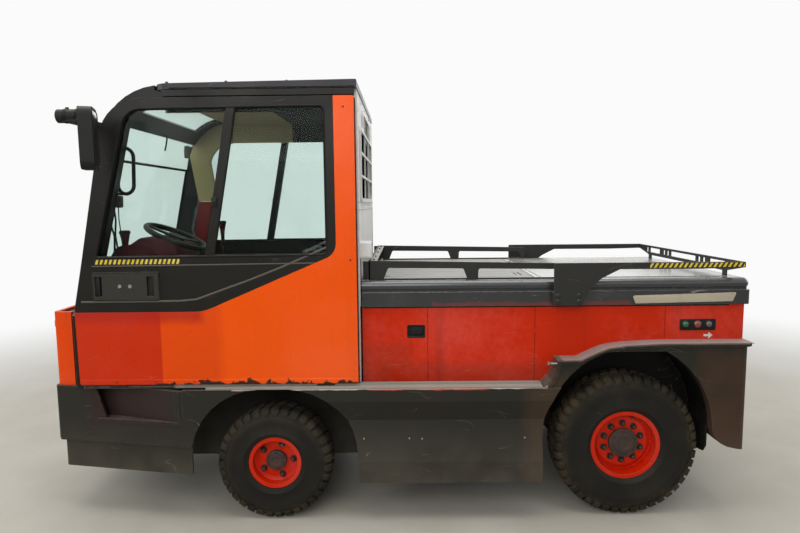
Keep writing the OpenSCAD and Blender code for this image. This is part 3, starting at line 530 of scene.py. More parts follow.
@dataclass(frozen=True)
class Plastic(Finish):
    """Moulded plastic or rubber trim with a pebbled skin and dust in it."""

    colour: str = "#222222"
    rough: float = 0.5
    gloss: float = 0.16
    pebble: float = 900.0
    relief: float = 0.0002
    up: float = 0.25
    low: float = 0.0

    def write(self, g: Graph, shader: bpy.types.Node, effects: Effects) -> None:
        """Writes the moulding's nodes round the shader.

        Args:
            g: Graph of the material.
            shader: The material's shader.
            effects: The shared effects.
        """
        cells = g.add("ShaderNodeTexVoronoi", {"Vector": g.coordinates(), "Scale": self.pebble})
        colour = g.place(effects.drift, {"Color": srgb(self.colour), "Scale": 6.0, "Spread": 0.18})
        dust = g.place(effects.dust, {"Up": self.up, "Low": self.low, "Height": 0.8, "Scale": 12.0})
        colour = g.mix(dust, colour, srgb("#8c8577"))
        edges = g.place(effects.edge_wear, {"Radius": 0.002, "Breakup": 50.0, "Amount": 0.25}).node
        colour = g.mix(g.times(edges.outputs["Mask"], 0.5), colour, srgb("#6d6a64"))
        self.fill(g, shader, {
            "Base Color": colour,
            "Roughness": g.plus(g.span(g.noise(20.0, 4.0), 0.3, 0.7, self.rough - 0.06, self.rough + 0.08),
                                g.times(dust, 0.3), clamp=True),
            "Specular IOR Level": self.gloss,
            "Normal": g.bump(cells, 0.5, self.relief, edges)})


@dataclass(frozen=True)
class TyreRubber(Finish):
    """Tyre rubber: nearly black side walls with a chalky bloom, and a tread full of brown dust."""

    centre: tuple[float, float, float] = (0.0, 0.0, 0.0)
    radius: float = 0.3
    wall: str = "#201e1a"
    dusty: str = "#5a4d3a"

    def write(self, g: Graph, shader: bpy.types.Node, effects: Effects) -> None:
        """Writes the rubber's nodes round the shader.

        Args:
            g: Graph of the material.
            shader: The material's shader.
            effects: The shared effects.
        """
        away = g.vector("MULTIPLY", g.vector("SUBTRACT", g.coordinates(), self.centre), (1.0, 0.0, 1.0))
        reach = g.add("ShaderNodeVectorMath", {0: away}, out="Value", operation="LENGTH")
        tread = g.span(reach, self.radius - 0.075, self.radius - 0.008)
        cloud = g.span(g.noise(11.0, 7.0, roughness=0.62), 0.3, 0.72)
        dirt = g.times(g.times(tread, cloud), 0.75)
        rings = g.math("SINE", g.times(reach, 1250.0))
        colour = g.place(effects.drift, {"Color": srgb(self.wall), "Scale": 7.0, "Spread": 0.24})
        bloom = g.times(g.span(g.noise(3.5, 5.0), 0.45, 0.75), 0.14)
        colour = g.mix(bloom, colour, srgb("#5c574c"))
        colour = g.mix(dirt, colour, srgb(self.dusty))
        scuff = g.place(effects.scratches, {"Scale": 22.0, "Amount": 0.5})
        colour = g.mix(scuff, colour, srgb("#55514a"))
        height = g.plus(g.times(rings, 0.12),
                        g.place(effects.grain, {"Fine": 500.0, "Dents": 22.0, "Share": 0.7}))
        self.fill(g, shader, {
            "Base Color": colour, "Roughness": g.span(dirt, 0.0, 0.7, 0.62, 0.95),
            "Specular IOR Level": 0.12,
            "Normal": g.bump(height, 0.6, 0.0006)})


@dataclass(frozen=True)
class Glass(Finish):
    """Tinted cab glass or a clear lamp cover, faintly smeared."""

    colour: str = "#e1ede9"
    rough: float = 0.0
    ior: float = 1.12

    def write(self, g: Graph, shader: bpy.types.Node, effects: Effects) -> None:
        """Writes the glass's nodes round the shader.

        Args:
            g: Graph of the material.
            shader: The material's shader.
            effects: Not used.
        """
        smear = g.span(g.noise(7.0, 6.0), 0.42, 0.75)
        self.fill(g, shader, {
            "Base Color": g.mix(g.times(smear, 0.06), srgb(self.colour), srgb("#b9b8a8")),
            "Roughness": g.span(smear, 0.7, 1.0, self.rough, self.rough + 0.02),
            "Transmission Weight": 1.0, "IOR": self.ior})


@dataclass(frozen=True)
class Lens(Finish):
    """Coloured lamp plastic over ribs."""

    colour: str = "#c01810"
    through: float = 0.35
    ribs: float = 900.0

    def write(self, g: Graph, shader: bpy.types.Node, effects: Effects) -> None:
        """Writes the lens's nodes round the shader.

        Args:
            g: Graph of the material.
            shader: The material's shader.
            effects: The shared effects.
        """
        along = g.parts()
        rows = g.math("SINE", g.times(along[2], self.ribs))
        columns = g.math("SINE", g.times(g.plus(along[0], along[1]), self.ribs))
        colour = g.place(effects.drift, {"Color": srgb(self.colour), "Scale": 14.0, "Spread": 0.2})
        dust = g.place(effects.dust, {"Up": 0.5, "Low": 0.1, "Height": 1.0, "Scale": 20.0})
        self.fill(g, shader, {
            "Base Color": g.mix(dust, colour, srgb("#8d8778")), "Roughness": g.span(dust, 0.0, 1.0, 0.12, 0.6),
            "Transmission Weight": self.through, "Coat Weight": 0.4, "Coat Roughness": 0.05,
            "Normal": g.bump(g.plus(rows, columns), 0.35, 0.0006)})


@dataclass(frozen=True)
class SeatCloth(Finish):
    """Coarse woven seat cloth with fuzz, rubbed lighter on its crown."""

    colour: str = "#2c2c2f"
    thread: str = "#47474a"
    pitch: float = 1400.0

    def write(self, g: Graph, shader: bpy.types.Node, effects: Effects) -> None:
        """Writes the cloth's nodes round the shader.

        Args:
            g: Graph of the material.
            shader: The material's shader.
            effects: The shared effects.
        """
        where = g.parts()
        warp = g.math("SINE", g.times(where[1], self.pitch))
        weft = g.math("SINE", g.times(g.plus(where[0], where[2]), self.pitch))
        weave = g.times(warp, weft)
        colour = g.place(effects.drift, {"Color": srgb(self.colour), "Scale": 5.0, "Spread": 0.25})
        colour = g.mix(g.span(weave, -0.2, 0.9), colour, srgb(self.thread))
        dust = g.place(effects.dust, {"Up": 0.3, "Low": 0.0, "Height": 0.5, "Scale": 16.0})
        self.fill(g, shader, {
            "Base Color": g.mix(dust, colour, srgb("#6b675e")),
            "Roughness": g.span(weave, -1.0, 1.0, 0.82, 0.98),
            "Sheen Weight": 0.35, "Sheen Roughness": 0.5,
            "Normal": g.bump(weave, 0.7, 0.0005)})


@dataclass(frozen=True)
class HazardTape(Finish):
    """Slanted yellow and black warning stripes on tape, scuffed at the edges."""

    pitch: float = 0.034
    lean: float = 0.7

    def write(self, g: Graph, shader: bpy.types.Node, effects: Effects) -> None:
        """Writes the tape's nodes round the shader.

        Args:
            g: Graph of the material.
            shader: The material's shader.
            effects: The shared effects.
        """
        where = g.parts()
        along = g.plus(where[0], g.times(where[2], self.lean))
        turn = g.math("FRACT", g.math("DIVIDE", along, self.pitch))
        stripe = g.math("GREATER_THAN", turn, 0.5)
        yellow = g.place(effects.drift, {"Color": srgb("#d8bd2c"), "Scale": 20.0, "Spread": 0.25})
        colour = g.mix(stripe, yellow, srgb("#1d1c19"))
        rubbed = g.place(effects.scratches, {"Scale": 30.0, "Amount": 0.8})
        worn = g.span(g.noise(60.0, 5.0), 0.62, 0.7)
        colour = g.mix(g.times(worn, 0.5), g.mix(rubbed, colour, srgb("#8a8375")), srgb("#4b4840"))
        self.fill(g, shader, {
            "Base Color": colour, "Roughness": g.span(worn, 0.0, 1.0, 0.42, 0.75),
            "Normal": g.bump(g.noise(300.0, 2.0), 0.3, 0.0002)})


RED_RUST = "#3b2117"

# The door's three shades, the red mist under the black border and the rust along the sill fold
DOOR_PATCHES = (
    Patch((0.855, -1.0, 0.6), (1.107, 1.0, 1.3), "#e04a10", soft=0.05),
    Patch((1.107, -1.0, 0.6), (1.9, 1.0, 1.3), "#c5300f", soft=0.006),
    Patch((0.93, -1.0, 0.972), (1.6, 1.0, 1.012), "#a8241a", soft=0.04, ragged=0.04, scale=5.0, strength=0.7),
    Patch((0.62, -1.0, 0.60), (0.93, 1.0, 0.669), RED_RUST, soft=0.004, ragged=0.13, scale=17.0),
    Patch((0.19, -1.0, 0.60), (0.62, 1.0, 0.661), RED_RUST, soft=0.004, ragged=0.12, scale=15.0),
    Patch((0.97, -1.0, 0.60), (1.14, 1.0, 0.662), RED_RUST, soft=0.003, ragged=0.12, scale=24.0),
    Patch((0.19, -1.0, 0.55), (1.60, 1.0, 0.6565), "#2a2622", soft=0.002),
)
SKIRT_PATCHES = (
    Patch((-0.66, -1.0, 0.6365), (0.78, 1.0, 0.66), "#a9a39a", soft=0.002, ragged=0.016, scale=14.0),
    Patch((-0.40, -1.0, 0.634), (0.15, 1.0, 0.66), "#b5473a", soft=0.002, ragged=0.03, scale=9.0, strength=0.7),
    Patch((-1.62, -1.0, 0.30), (-1.34, 1.0, 0.56), "#4c3426", soft=0.12, ragged=0.22, scale=7.0, strength=0.65),
    Patch((-1.60, -1.0, 0.66), (-1.40, 1.0, 0.76), "#4c3426", soft=0.08, ragged=0.14, scale=10.0, strength=0.5),
    Patch((-0.72, -1.0, 0.18), (-0.60, 1.0, 0.66), "#4a3a2d", soft=0.07, ragged=0.1, scale=12.0, strength=0.55),
    Patch((1.10, -1.0, 0.48), (1.46, 1.0, 0.64), "#33201f", soft=0.05, ragged=0.04, scale=6.0, strength=0.6),
    # Near black inside the rear and front wheel arches: painted shade in the arch hollows.
    Patch((-1.47, -0.59, 0.10), (-0.61, 0.59, 0.82), "#0c0b0a", soft=0.012),
    Patch((0.20, -0.60, 0.10), (1.00, 0.60, 0.66), "#0c0b0a", soft=0.012),
)

FINISHES: dict[str, Finish] = {f.name: f for f in (
    # Paint: name, colour, under it, roughness, spread, wear, marks, runs, dust on top, dust low down
    Paint("cab_black", "#1b1a17", "#5a554d", 0.36, 0.2, 0.3, 0.3, 0.1, 0.35, 0.05, patches=(
              Patch((1.104, 0.6, 1.056), (1.399, 0.64, 1.177), "#33322d", soft=0.002),
              Patch((1.104, -0.64, 1.056), (1.399, -0.6, 1.177), "#33322d", soft=0.002))),
    Paint("door_orange", "#ee5510", "#4a3026", 0.3, 0.08, 0.18, 0.3, 0.06, 0.1, 0.06, coat=0.03,
          patches=DOOR_PATCHES),
    Paint("nose_orange", "#e0470f", "#4a3026", 0.34, 0.14, 0.4, 0.5, 0.12, 0.2, 0.1, coat=0.03),
    Paint("body_red", "#c92f15", "#4a2c22", 0.36, 0.28, 0.4, 0.65, 0.3, 0.25, 0.12, coat=0.03, patches=(
              Patch((-1.62, -1.0, 0.62), (0.2, 1.0, 0.70), "#96301f", soft=0.05, ragged=0.08, scale=6.0,
                    strength=0.5),
              Patch((-0.02, -1.0, 0.72), (0.2, 1.0, 0.80), "#a53421", soft=0.05, ragged=0.08, scale=8.0,
                    strength=0.5),
              Patch((-1.66, 0.550, 0.60), (-0.60, 0.70, 0.875), "#8d7c79", soft=0.002, ragged=0.006, scale=9.0),
              Patch((-1.66, -0.70, 0.60), (-0.60, -0.550, 0.875), "#8d7c79", soft=0.002, ragged=0.006, scale=9.0),
              Patch((-0.73, 0.550, 0.60), (-0.60, 0.70, 0.80), "#45423c", soft=0.002),
              Patch((-0.73, -0.70, 0.60), (-0.60, -0.550, 0.80), "#45423c", soft=0.002))),
    Paint("rim_red", "#cf2c14", "#6f675c", 0.4, 0.2, 0.5, 0.4, 0.1, 0.0, 0.0),
    Paint("bumper_grey", "#282620", "#6f6a60", 0.52, 0.22, 0.3, 0.5, 0.25, 0.25, 0.25, low_height=0.55,
          relief=0.0007, patches=SKIRT_PATCHES),
    Paint("rail_grey", "#2e2e2c", "#6f6b64", 0.5, 0.16, 0.42, 0.4, 0.1, 0.45, 0.0),
    Paint("flange_grey", "#9a9995", "#6b6963", 0.5, 0.16, 0.3, 0.5, 0.0, 0.2, 0.0),
    Paint("deck_grey", "#2c2e30", "#7d7c79", 0.2, 0.2, 0.3, 0.6, 0.2, 0.15, 0.0, gloss=0.5, coat=0.5,
          dust_colour="#a3a19c", patches=(
              Patch((-1.62, -0.49, 1.10), (0.18, 0.49, 1.14), "#85827d", soft=0.02, ragged=0.05, scale=5.0),
              Patch((-1.05, -1.0, 1.0), (-0.15, 1.0, 1.014), "#7c2a20", soft=0.012, ragged=0.04, scale=7.0,
                    strength=0.5))),
    Paint("lid_grey", "#8b8b8a", "#b3b0ab", 0.55, 0.25, 0.45, 0.9, 0.0, 0.4, 0.0, dust_colour="#b1aea8",
          relief=0.0008),
    Paint("roof_grey", "#35353a", "#8f8d88", 0.36, 0.12, 0.25, 0.25, 0.1, 0.35, 0.0),
    Paint("wall_grey", "#dcdbd9", "#6b6963", 0.45, 0.08, 0.2, 0.3, 0.25, 0.3, 0.1, low_height=1.2),
    Paint("guard_white", "#d3d4d0", "#5d5a55", 0.42, 0.08, 0.3, 0.2, 0.1, 0.3, 0.0),
    Paint("floor_steel", "#37342f", "#9a948b", 0.5, 0.25, 0.4, 0.7, 0.0, 0.2, 0.0, patches=(
              Patch((-0.66, -1.0, 0.636), (1.05, 1.0, 0.66), "#a29b91", soft=0.01, ragged=0.05, scale=9.0,
                    strength=0.75),)),
    Paint("frame_black", "#100f0e", "#3a2c22", 0.6, 0.25, 0.15, 0.1, 0.2, 0.3, 0.2, low_height=0.8),
    Paint("cast_steel", "#25221e", "#7c776e", 0.66, 0.3, 0.6, 0.5, 0.2, 0.4, 0.3, relief=0.0014),
    Paint("headliner", "#a3936c", "#a3936c", 0.85, 0.12, 0.0, 0.1, 0.1, 0.0, 0.0),
    Paint("liner_dark", "#25302d", "#25302d", 0.85, 0.12, 0.0, 0.1, 0.1, 0.0, 0.0),
    # Light grey for the door's ridge and sill line: a painted highlight along their edges.
    Paint("ridge_highlight_grey", "#57534b", "#8b867b", 0.4, 0.2, 0.5, 0.3, 0.0, 0.2, 0.0),
    Paint("blank_plate", "#b6ad99", "#7f786b", 0.5, 0.14, 0.3, 0.7, 0.3, 0.2, 0.0),
    Paint("arrow_white", "#ddd6c6", "#9c9588", 0.5, 0.1, 0.2, 0.5, 0.2, 0.0, 0.0),
    Paint("cab_red", "#6e1a18", "#3c2622", 0.42, 0.16, 0.3, 0.4, 0.1, 0.3, 0.0),
    Steel("bright_steel", colour="#a5a39c", rough=0.32, rust=0.1),
    Steel("bolt_zinc", colour="#8d8a82", rough=0.42, rust=0.3),
    Steel("dark_steel", colour="#33302c", rough=0.6, metallic=0.4, rust=0.5, rust_colour="#5a4a39"),
    Steel("hub_brown", colour="#332621", rough=0.66, metallic=0.1, rust=0.3, rust_colour="#4f3426"),
    Steel("mirror_glass", colour="#e3e8ea", rough=0.03, metallic=1.0, rust=0.0),
    Steel("reflector", colour="#e8e8e6", rough=0.1, metallic=1.0, rust=0.0),
    Plastic("battery", colour="#3c4043", rough=0.6, up=0.45),
    Plastic("dash_red", colour="#45171b", rough=0.58, pebble=700.0, up=0.06),
    Plastic("wheel_black", colour="#1d1d1c", rough=0.42, pebble=1200.0),
    Plastic("mirror_black", colour="#1f1f1f", rough=0.5, pebble=800.0),
    Plastic("trim_black", colour="#1b1b1a", rough=0.48, pebble=900.0),
    Plastic("gasket", colour="#171716", rough=0.7, pebble=1600.0),
    Plastic("seat_shell", colour="#262628", rough=0.6, pebble=700.0),
    Plastic("floor_mat", colour="#2b2a28", rough=0.85, pebble=260.0, relief=0.0012, up=0.5),
    Glass("glass"),
    Glass("smoked_glass", colour="#161b19", ior=1.0),
    Glass("lamp_glass", colour="#f2f4f4", rough=0.01),
    Lens("lens_red", colour="#b3170f"),
    Lens("lens_amber", colour="#d9780e"),
    Lens("lens_white", colour="#d8d8d2"),
    Lens("button_green", colour="#117a46", ribs=0.0),
    Lens("button_red", colour="#9a4a3e", ribs=0.0),
    Lens("button_grey", colour="#6a6c6e", ribs=0.0),
    SeatCloth("seat_black"),
    HazardTape("sill_tape", pitch=0.0205, lean=0.35),
    HazardTape("rail_tape", pitch=0.0222, lean=0.6),
)}


# Meshes


def rounded(corners: Iterable[Sequence[float]], steps: int = 6) -> list[tuple[float, float]]:
    """Rounds the corners of a closed outline.

    Args:
        corners: Two coordinates and a radius for each corner.
        steps: Number of chords in each rounded corner.

    Returns:
        The points of the outline.
    """
    table = [tuple(c) for c in corners]
    points: list[tuple[float, float]] = []
    for i, (x, y, radius) in enumerate(table):
        here = Vector((x, y))
        back = Vector(table[i - 1][:2]) - here
        ahead = Vector(table[(i + 1) % len(table)][:2]) - here
        if radius <= 0 or back.length < 1e-6 or ahead.length < 1e-6:
            points.append((x, y))
            continue
        back.normalize()
        ahead.normalize()
        angle = back.angle(ahead)
        reach = radius / math.tan(angle / 2)
        start, end = here + back * reach, here + ahead * reach
        centre = here + (back + ahead).normalized() * radius / math.sin(angle / 2)
        first, last = start - centre, end - centre
        turn = math.atan2(first.x * last.y - first.y * last.x, first.dot(last))
        for k in range(steps + 1):
            a = turn * k / steps
            points.append((centre.x + first.x * math.cos(a) - first.y * math.sin(a),
                           centre.y + first.x * math.sin(a) + first.y * math.cos(a)))
    return points


def rounded_box(x0: float, x1: float, y0: float, y1: float, radius: float,
                steps: int = 6) -> list[tuple[float, float]]:
    """Outline of a rectangle between two corners, with all its corners rounded alike."""
    return rounded([(x0, y0, radius), (x1, y0, radius), (x1, y1, radius), (x0, y1, radius)], steps)


class Shape:
    """A mesh built up from simple solids, in millimetres in the part's frame."""

    def __init__(self) -> None:
        """Starts empty."""
        self.mesh = bmesh.new()

    def loft(self, rings: Sequence[Sequence[Point]], capped: bool = True, looped: bool = False) -> "Shape":
        """Joins rings of points into a skin.

        Args:
            rings: Rings with the same number of points.
            capped: Whether the first and last ring are filled.
            looped: Whether the last ring joins the first.

        Returns:
            This shape.
        """
        rows = [[self.mesh.verts.new(tuple(p)) for p in ring] for ring in rings]
        count = len(rows[0])
        pairs = list(zip(rows, rows[1:])) + ([(rows[-1], rows[0])] if looped else [])
        for a, b in pairs:
            for i in range(count):
                j = (i + 1) % count
                self.mesh.faces.new((a[i], a[j], b[j], b[i]))
        if capped and not looped:
            self.mesh.faces.new(rows[0][::-1])
            self.mesh.faces.new(rows[-1])
        return self

    def prism(self, axis: Axis, outline: Sequence[Point], start: float, end: float) -> "Shape":
        """Draws an outline out along an axis, from start to end."""
        return self.loft([[axis.at(p, level) for p in outline] for level in (start, end)])

    def frame(self, axis: Axis, outer: Sequence[Point], inner: Sequence[Point], start: float, end: float,
              back: float) -> "Shape":
        """Adds a flat ring from start to end along an axis, whose inner wall goes on to back.

        Args:
            axis: Axis that the ring is drawn out along.
            outer: Outline of its rim.
            inner: Outline of its hole.
            start: Level of its foot.
            end: Level of its face.
            back: Level at which the hole's wall ends.

        Returns:
            This shape.
        """
        steps = ((outer, start), (outer, end), (inner, end), (inner, back))
        return self.loft([[axis.at(p, level) for p in outline] for outline, level in steps],
                         capped=False, looped=True)

    def box(self, x0: float, x1: float, y0: float, y1: float, z0: float, z1: float) -> "Shape":
        """Adds a block between two corners."""
        return self.prism(Axis.Z, [(x0, y0), (x1, y0), (x1, y1), (x0, y1)], z0, z1)

    def lathe(self, centre: Point, direction: Point, profile: Sequence[tuple[float, float]], sides: int = 32,
              looped: bool = False) -> "Shape":
        """Turns a profile round an axis.

        Args:
            centre: Point on the axis from which heights count.
            direction: Direction of the axis.
            profile: Radius and height of each ring.
            sides: Number of sides.
            looped: Whether the profile closes on itself, as a ring does.

        Returns:
            This shape.
        """
        w = Vector(direction).normalized()
        u = w.orthogonal().normalized()
        v = w.cross(u)
        origin = Vector(centre)
        rings = []
        for radius, height in profile:
            ring = []
            for k in range(sides):
                a = math.tau * k / sides
                ring.append(origin + w * height + (u * math.cos(a) + v * math.sin(a)) * max(radius, 0.05))
            rings.append(ring)
        return self.loft(rings, looped=looped)

    def cylinder(self, p: Point, q: Point, radius: float, sides: int = 24, ease: float = 0.8) -> "Shape":
        """Adds a rod with eased ends from p to q.

        Args:
            p: Middle of one end.
            q: Middle of the other end.
            radius: Its radius.
            sides: Number of sides.
            ease: Chamfer of its ends.

        Returns:
            This shape.
        """
        span = Vector(q) - Vector(p)
        long = span.length
        ease = min(ease, radius * 0.4, long * 0.3)
        return self.lathe(p, span, [(radius - ease, 0), (radius, ease), (radius, long - ease),
                                    (radius - ease, long)], sides)

    def bolt(self, p: Point, normal: Point, across: float = 13.0, washer: bool = True) -> "Shape":
        """Adds a hexagon bolt head with its washer, standing on p along normal.

        Args:
            p: Point that it stands on.
            normal: Direction of its axis.
            across: Width across the flats.
            washer: Whether a washer lies under it.

        Returns:
            This shape.
        """
        r = across / 2 / math.cos(math.pi / 6)
        if washer:
            self.lathe(p, normal, [(r * 1.25, 0), (r * 1.35, 0.5), (r * 1.35, 1.4), (r * 1.2, 1.8)], 20)
        rise = 1.6 if washer else 0.0
        head = [(r, rise), (r, rise + across * 0.46), (r * 0.82, rise + across * 0.56)]
        return self.lathe(p, normal, head, 6)

    def tube(self, path: Sequence[Point], radius: float, sides: int = 10, looped: bool = False,
             flat: float = 1.0) -> "Shape":
        """Runs a round or flattened rod along a path.

        Args:
            path: Points of its middle line.
            radius: Half its thickness.
            sides: Number of sides.
            looped: Whether the path closes on itself.
            flat: Factor on the thickness across the path's plane.

        Returns:
            This shape.
        """
        points = [Vector(p) for p in path]
        count = len(points)
        rings = []
        normal = None
        for i, here in enumerate(points):
            before = points[i - 1] if (i or looped) else here
            after = points[(i + 1) % count] if (i + 1 < count or looped) else here
            tangent = (after - before).normalized()
            if normal is None:
                normal = tangent.orthogonal().normalized() if abs(tangent.y) > 0.9 else Vector((0, 1, 0))
            normal = (normal - tangent * normal.dot(tangent)).normalized()
            side = tangent.cross(normal)
            rings.append([here + normal * math.cos(a) * radius * flat + side * math.sin(a) * radius
                          for a in (math.tau * k / sides for k in range(sides))])
        return self.loft(rings, looped=looped)

    def mirrored(self) -> "Shape":
        """Adds the mirror image on the other side of the tug.

        Returns:
            This shape.
        """
        made = bmesh.ops.duplicate(self.mesh, geom=self.mesh.verts[:] + self.mesh.edges[:] + self.mesh.faces[:])
        fresh = [g for g in made["geom"] if isinstance(g, bmesh.types.BMVert)]
        for vert in fresh:
            vert.co.y = -vert.co.y
        return self

    def ease(self, width: float, angle: float = 32.0, rounds: int = 2) -> "Shape":
        """Rounds every edge sharper than angle by width.

        Args:
            width: Width of the rounding.
            angle: Least angle of an edge, in degrees.
            rounds: Number of steps in the rounding.

        Returns:
            This shape.
        """
        bmesh.ops.remove_doubles(self.mesh, verts=self.mesh.verts[:], dist=0.002)
        sharp = [e for e in self.mesh.edges if len(e.link_faces) == 2
                 and e.calc_face_angle(0.0) > math.radians(angle)]
        if sharp and width > 0:
            bmesh.ops.bevel(self.mesh, geom=sharp, offset=width, segments=rounds, profile=0.6,
                            affect="EDGES", clamp_overlap=True)
        return self

    def flip(self, side: Side) -> "Shape":
        """Moves the shape to the given side; shapes are drawn on the left.

        Args:
            side: Side to move to.

        Returns:
            This shape.
        """
        if side is Side.RIGHT:
            for vert in self.mesh.verts:
                vert.co.y = -vert.co.y
        return self


@dataclass
class Bench:
    """Turns shapes into finished pieces that ride on the frame."""

    effects: Effects
    count: int = 0

    def dress(self, node: str, finish: str) -> None:
        """Gives a carried-over solid its finish.

        Args:
            node: Name of the solid's node.
            finish: Name of its finish.
        """
        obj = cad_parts[node]
        material = FINISHES[finish].material(self.effects)
        if obj.material_slots:
            for slot in obj.material_slots:
                slot.material = material
        else:
            obj.data.materials.append(material)

    def piece(self, shape: Shape, name: str, finish: str, slot: str, body: Body = Body.TUG, ease: float = 0.8,
              smooth: float = 38.0) -> bpy.types.Object:
        """Makes an object from a shape.

        Args:
            shape: The shape, in millimetres.
            name: Name of the piece.
            finish: Name of its finish.
            slot: Not used.
            body: Body that it rides on.
            ease: Width by which its sharp edges are rounded.
            smooth: Angle up to which its faces shade as one surface.

        Returns:
            The object.
        """
        shape.ease(ease)
        bmesh.ops.recalc_face_normals(shape.mesh, faces=shape.mesh.faces[:])
        bmesh.ops.scale(shape.mesh, vec=(MM, MM, MM), verts=shape.mesh.verts[:])
        data = bpy.data.meshes.new(name)
        shape.mesh.to_mesh(data)
        shape.mesh.free()
        data.shade_smooth()
        data.set_sharp_from_angle(angle=math.radians(smooth))
        obj = bpy.data.objects.new(name, data)
        bpy.context.scene.collection.objects.link(obj)
        data.materials.append(FINISHES[finish].material(self.effects))
        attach(obj, body.value)
        self.count += 1
        LOG.info("piece %s: %d faces on %s", name, len(data.polygons), body.value)
        return obj


@dataclass
class Assembly:
    """Base of every sub-assembly: it holds the bench that makes its pieces."""

    bench: Bench

    def build(self) -> None:
        """Builds the pieces and dresses the solids."""
        raise NotImplementedError


# Running gear


@dataclass
class Wheel(Assembly):
    """One wheel: a lugged tyre that stands for the plain one, hub, nuts and valve."""

    place: str
    body: Body
    side: Side
    axle_x: float
    axle_z: float
    mid_y: float
    radius: float
    half_width: float
    bead: float
    lugs: int
    tread: float
    hub_radius: float
    hub_height: float
    nut_ring: float
    nut_height: float
    nuts: int
    dusty: str
    sides: int = 112

    def _at(self, angle: float, radius: float, out: float) -> tuple[float, float, float]:
        """A point of the wheel; out counts from the middle of the tyre to the outside."""
        return (self.axle_x + radius * math.cos(angle), self.side.value * (self.mid_y + out),
                self.axle_z + radius * math.sin(angle))

    def _carcass(self, shape: Shape) -> None:
        """Adds the tyre's skin with its beads and the rings on its side walls.

        Args:
            shape: The tyre's shape.
        """
        r, w, b, d = self.radius, self.half_width, self.bead, self.tread
        middle = (b + r) / 2 + 8
        half = [(0, r - d), (w * 0.6, r - d - 1), (w - 24, r - d - 5), (w - 13, r - d - 15),
                (w - 6, r - d - 30), (w - 2.6, middle + 22), (w - 1.4, middle + 10), (w - 1.4, middle),
                (w - 3.4, middle - 8), (w - 4.2, b + 38), (w - 2.8, b + 35), (w - 2.8, b + 31),
                (w - 6, b + 28), (w - 11, b + 20), (w - 15, b + 14), (w - 16, b + 11.5), (w - 27, b + 10),
                (w - 30, b + 1)]
        profile = [(-out, radius) for out, radius in reversed(half[1:])] + half
        shape.loft([[self._at(math.tau * k / self.sides, radius, out) for out, radius in profile]
                    for k in range(self.sides)], looped=True)

    def _lug(self, shape: Shape, angle: float, hand: int) -> None:
        """Adds one tread block from near the middle over the shoulder.

        Args:
            shape: The tyre's shape.
            angle: Angle at which it begins.
            hand: 1 for the outer row and -1 for the inner one.
        """
        r, w, d = self.radius, self.half_width, self.tread
        pitch = math.tau / self.lugs
        stations = ((5.0, r - 0.5, r - d - 4, 0.30, 0.36), (w * 0.5, r, r - d - 4, 0.06, 0.33),
                    (w - 25, r - 1.5, r - d - 9, -0.02, 0.35), (w - 12, r - 8, r - d - 18, -0.02, 0.36),
                    (w - 4.2, r - 19, r - d - 28, -0.02, 0.33), (w - 2.4, r - 26, r - d - 30, -0.02, 0.28))
        rings = []
        for out, top, foot, lean, share in stations:
            middle = angle + hand * lean * pitch
            a, b = middle - share * pitch, middle + share * pitch
            cut = 0.035 * pitch
            rings.append([self._at(a, foot, hand * out), self._at(a, top - 2, hand * out),
                          self._at(a + cut, top, hand * out), self._at(b - cut, top, hand * out),
                          self._at(b, top - 2, hand * out), self._at(b, foot, hand * out)])
        shape.loft(rings)

    def build(self) -> None:
        """Builds the tyre, hub, nuts and valve and dresses the rim."""
        shape = Shape()
        self._carcass(shape)
        for k in range(self.lugs):
            self._lug(shape, math.tau * k / self.lugs, 1)
            self._lug(shape, math.tau * (k + 0.5) / self.lugs, -1)
        finish = f"tyre_{self.place}"
        FINISHES[finish] = TyreRubber(finish, radius=self.radius * MM, dusty=self.dusty, centre=(
            self.axle_x * MM, self.side.value * self.mid_y * MM, self.axle_z * MM))
        tyre = self.bench.piece(shape, f"treaded_tyre_{self.place}", finish, "tyre", self.body, ease=0.0,
                                smooth=28.0)
        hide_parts(f"tyre_{self.place}")
        self.bench.dress(f"rim_{self.place}", "rim_red")
        self._hub()

    def _hub(self) -> None:
        """Adds the hub cap, the wheel nuts and the valve."""
        out = (0, self.side.value, 0)
        base = self._at(0, 0, self.hub_height)
        h = self.hub_radius
        cap = Shape().lathe(base, out, [(h, -14), (h, -1), (h - 3, 2), (h * 0.72, 3), (h * 0.70, 5.5),
                                        (h * 0.42, 6.5), (h * 0.38, 4.5), (h * 0.1, 4)], 48)
        for k in range(6):
            a = math.tau * (k + 0.5) / 6
            cap.bolt(self._at(a, h * 0.84, self.hub_height + 2), out, 9.0, washer=False)
        self.bench.piece(cap, f"hub_cap_{self.place}", "hub_brown", "rim_red", self.body, ease=0.5)
        nuts = Shape()
        for k in range(self.nuts):
            a = math.tau * (k + 0.5) / self.nuts
            p = self._at(a, self.nut_ring, self.nut_height)
            nuts.bolt(p, out, 22.0)
            nuts.lathe(p, out, [(10.4, 8), (10.4, 18), (8.6, 22), (5.0, 24.6), (1, 25.2)], 18)
        self.bench.piece(nuts, f"wheel_nuts_{self.place}", "hub_brown", "rim_red", self.body, ease=0.5)
        a = math.radians(112)
        root, tip = self._at(a, self.bead - 12, 4), self._at(a, self.bead - 34, 40)
        valve = Shape().cylinder(root, tip, 4.2, 14)
        self.bench.piece(valve, f"valve_{self.place}", "bolt_zinc", "rim_red", self.body, ease=0.3)


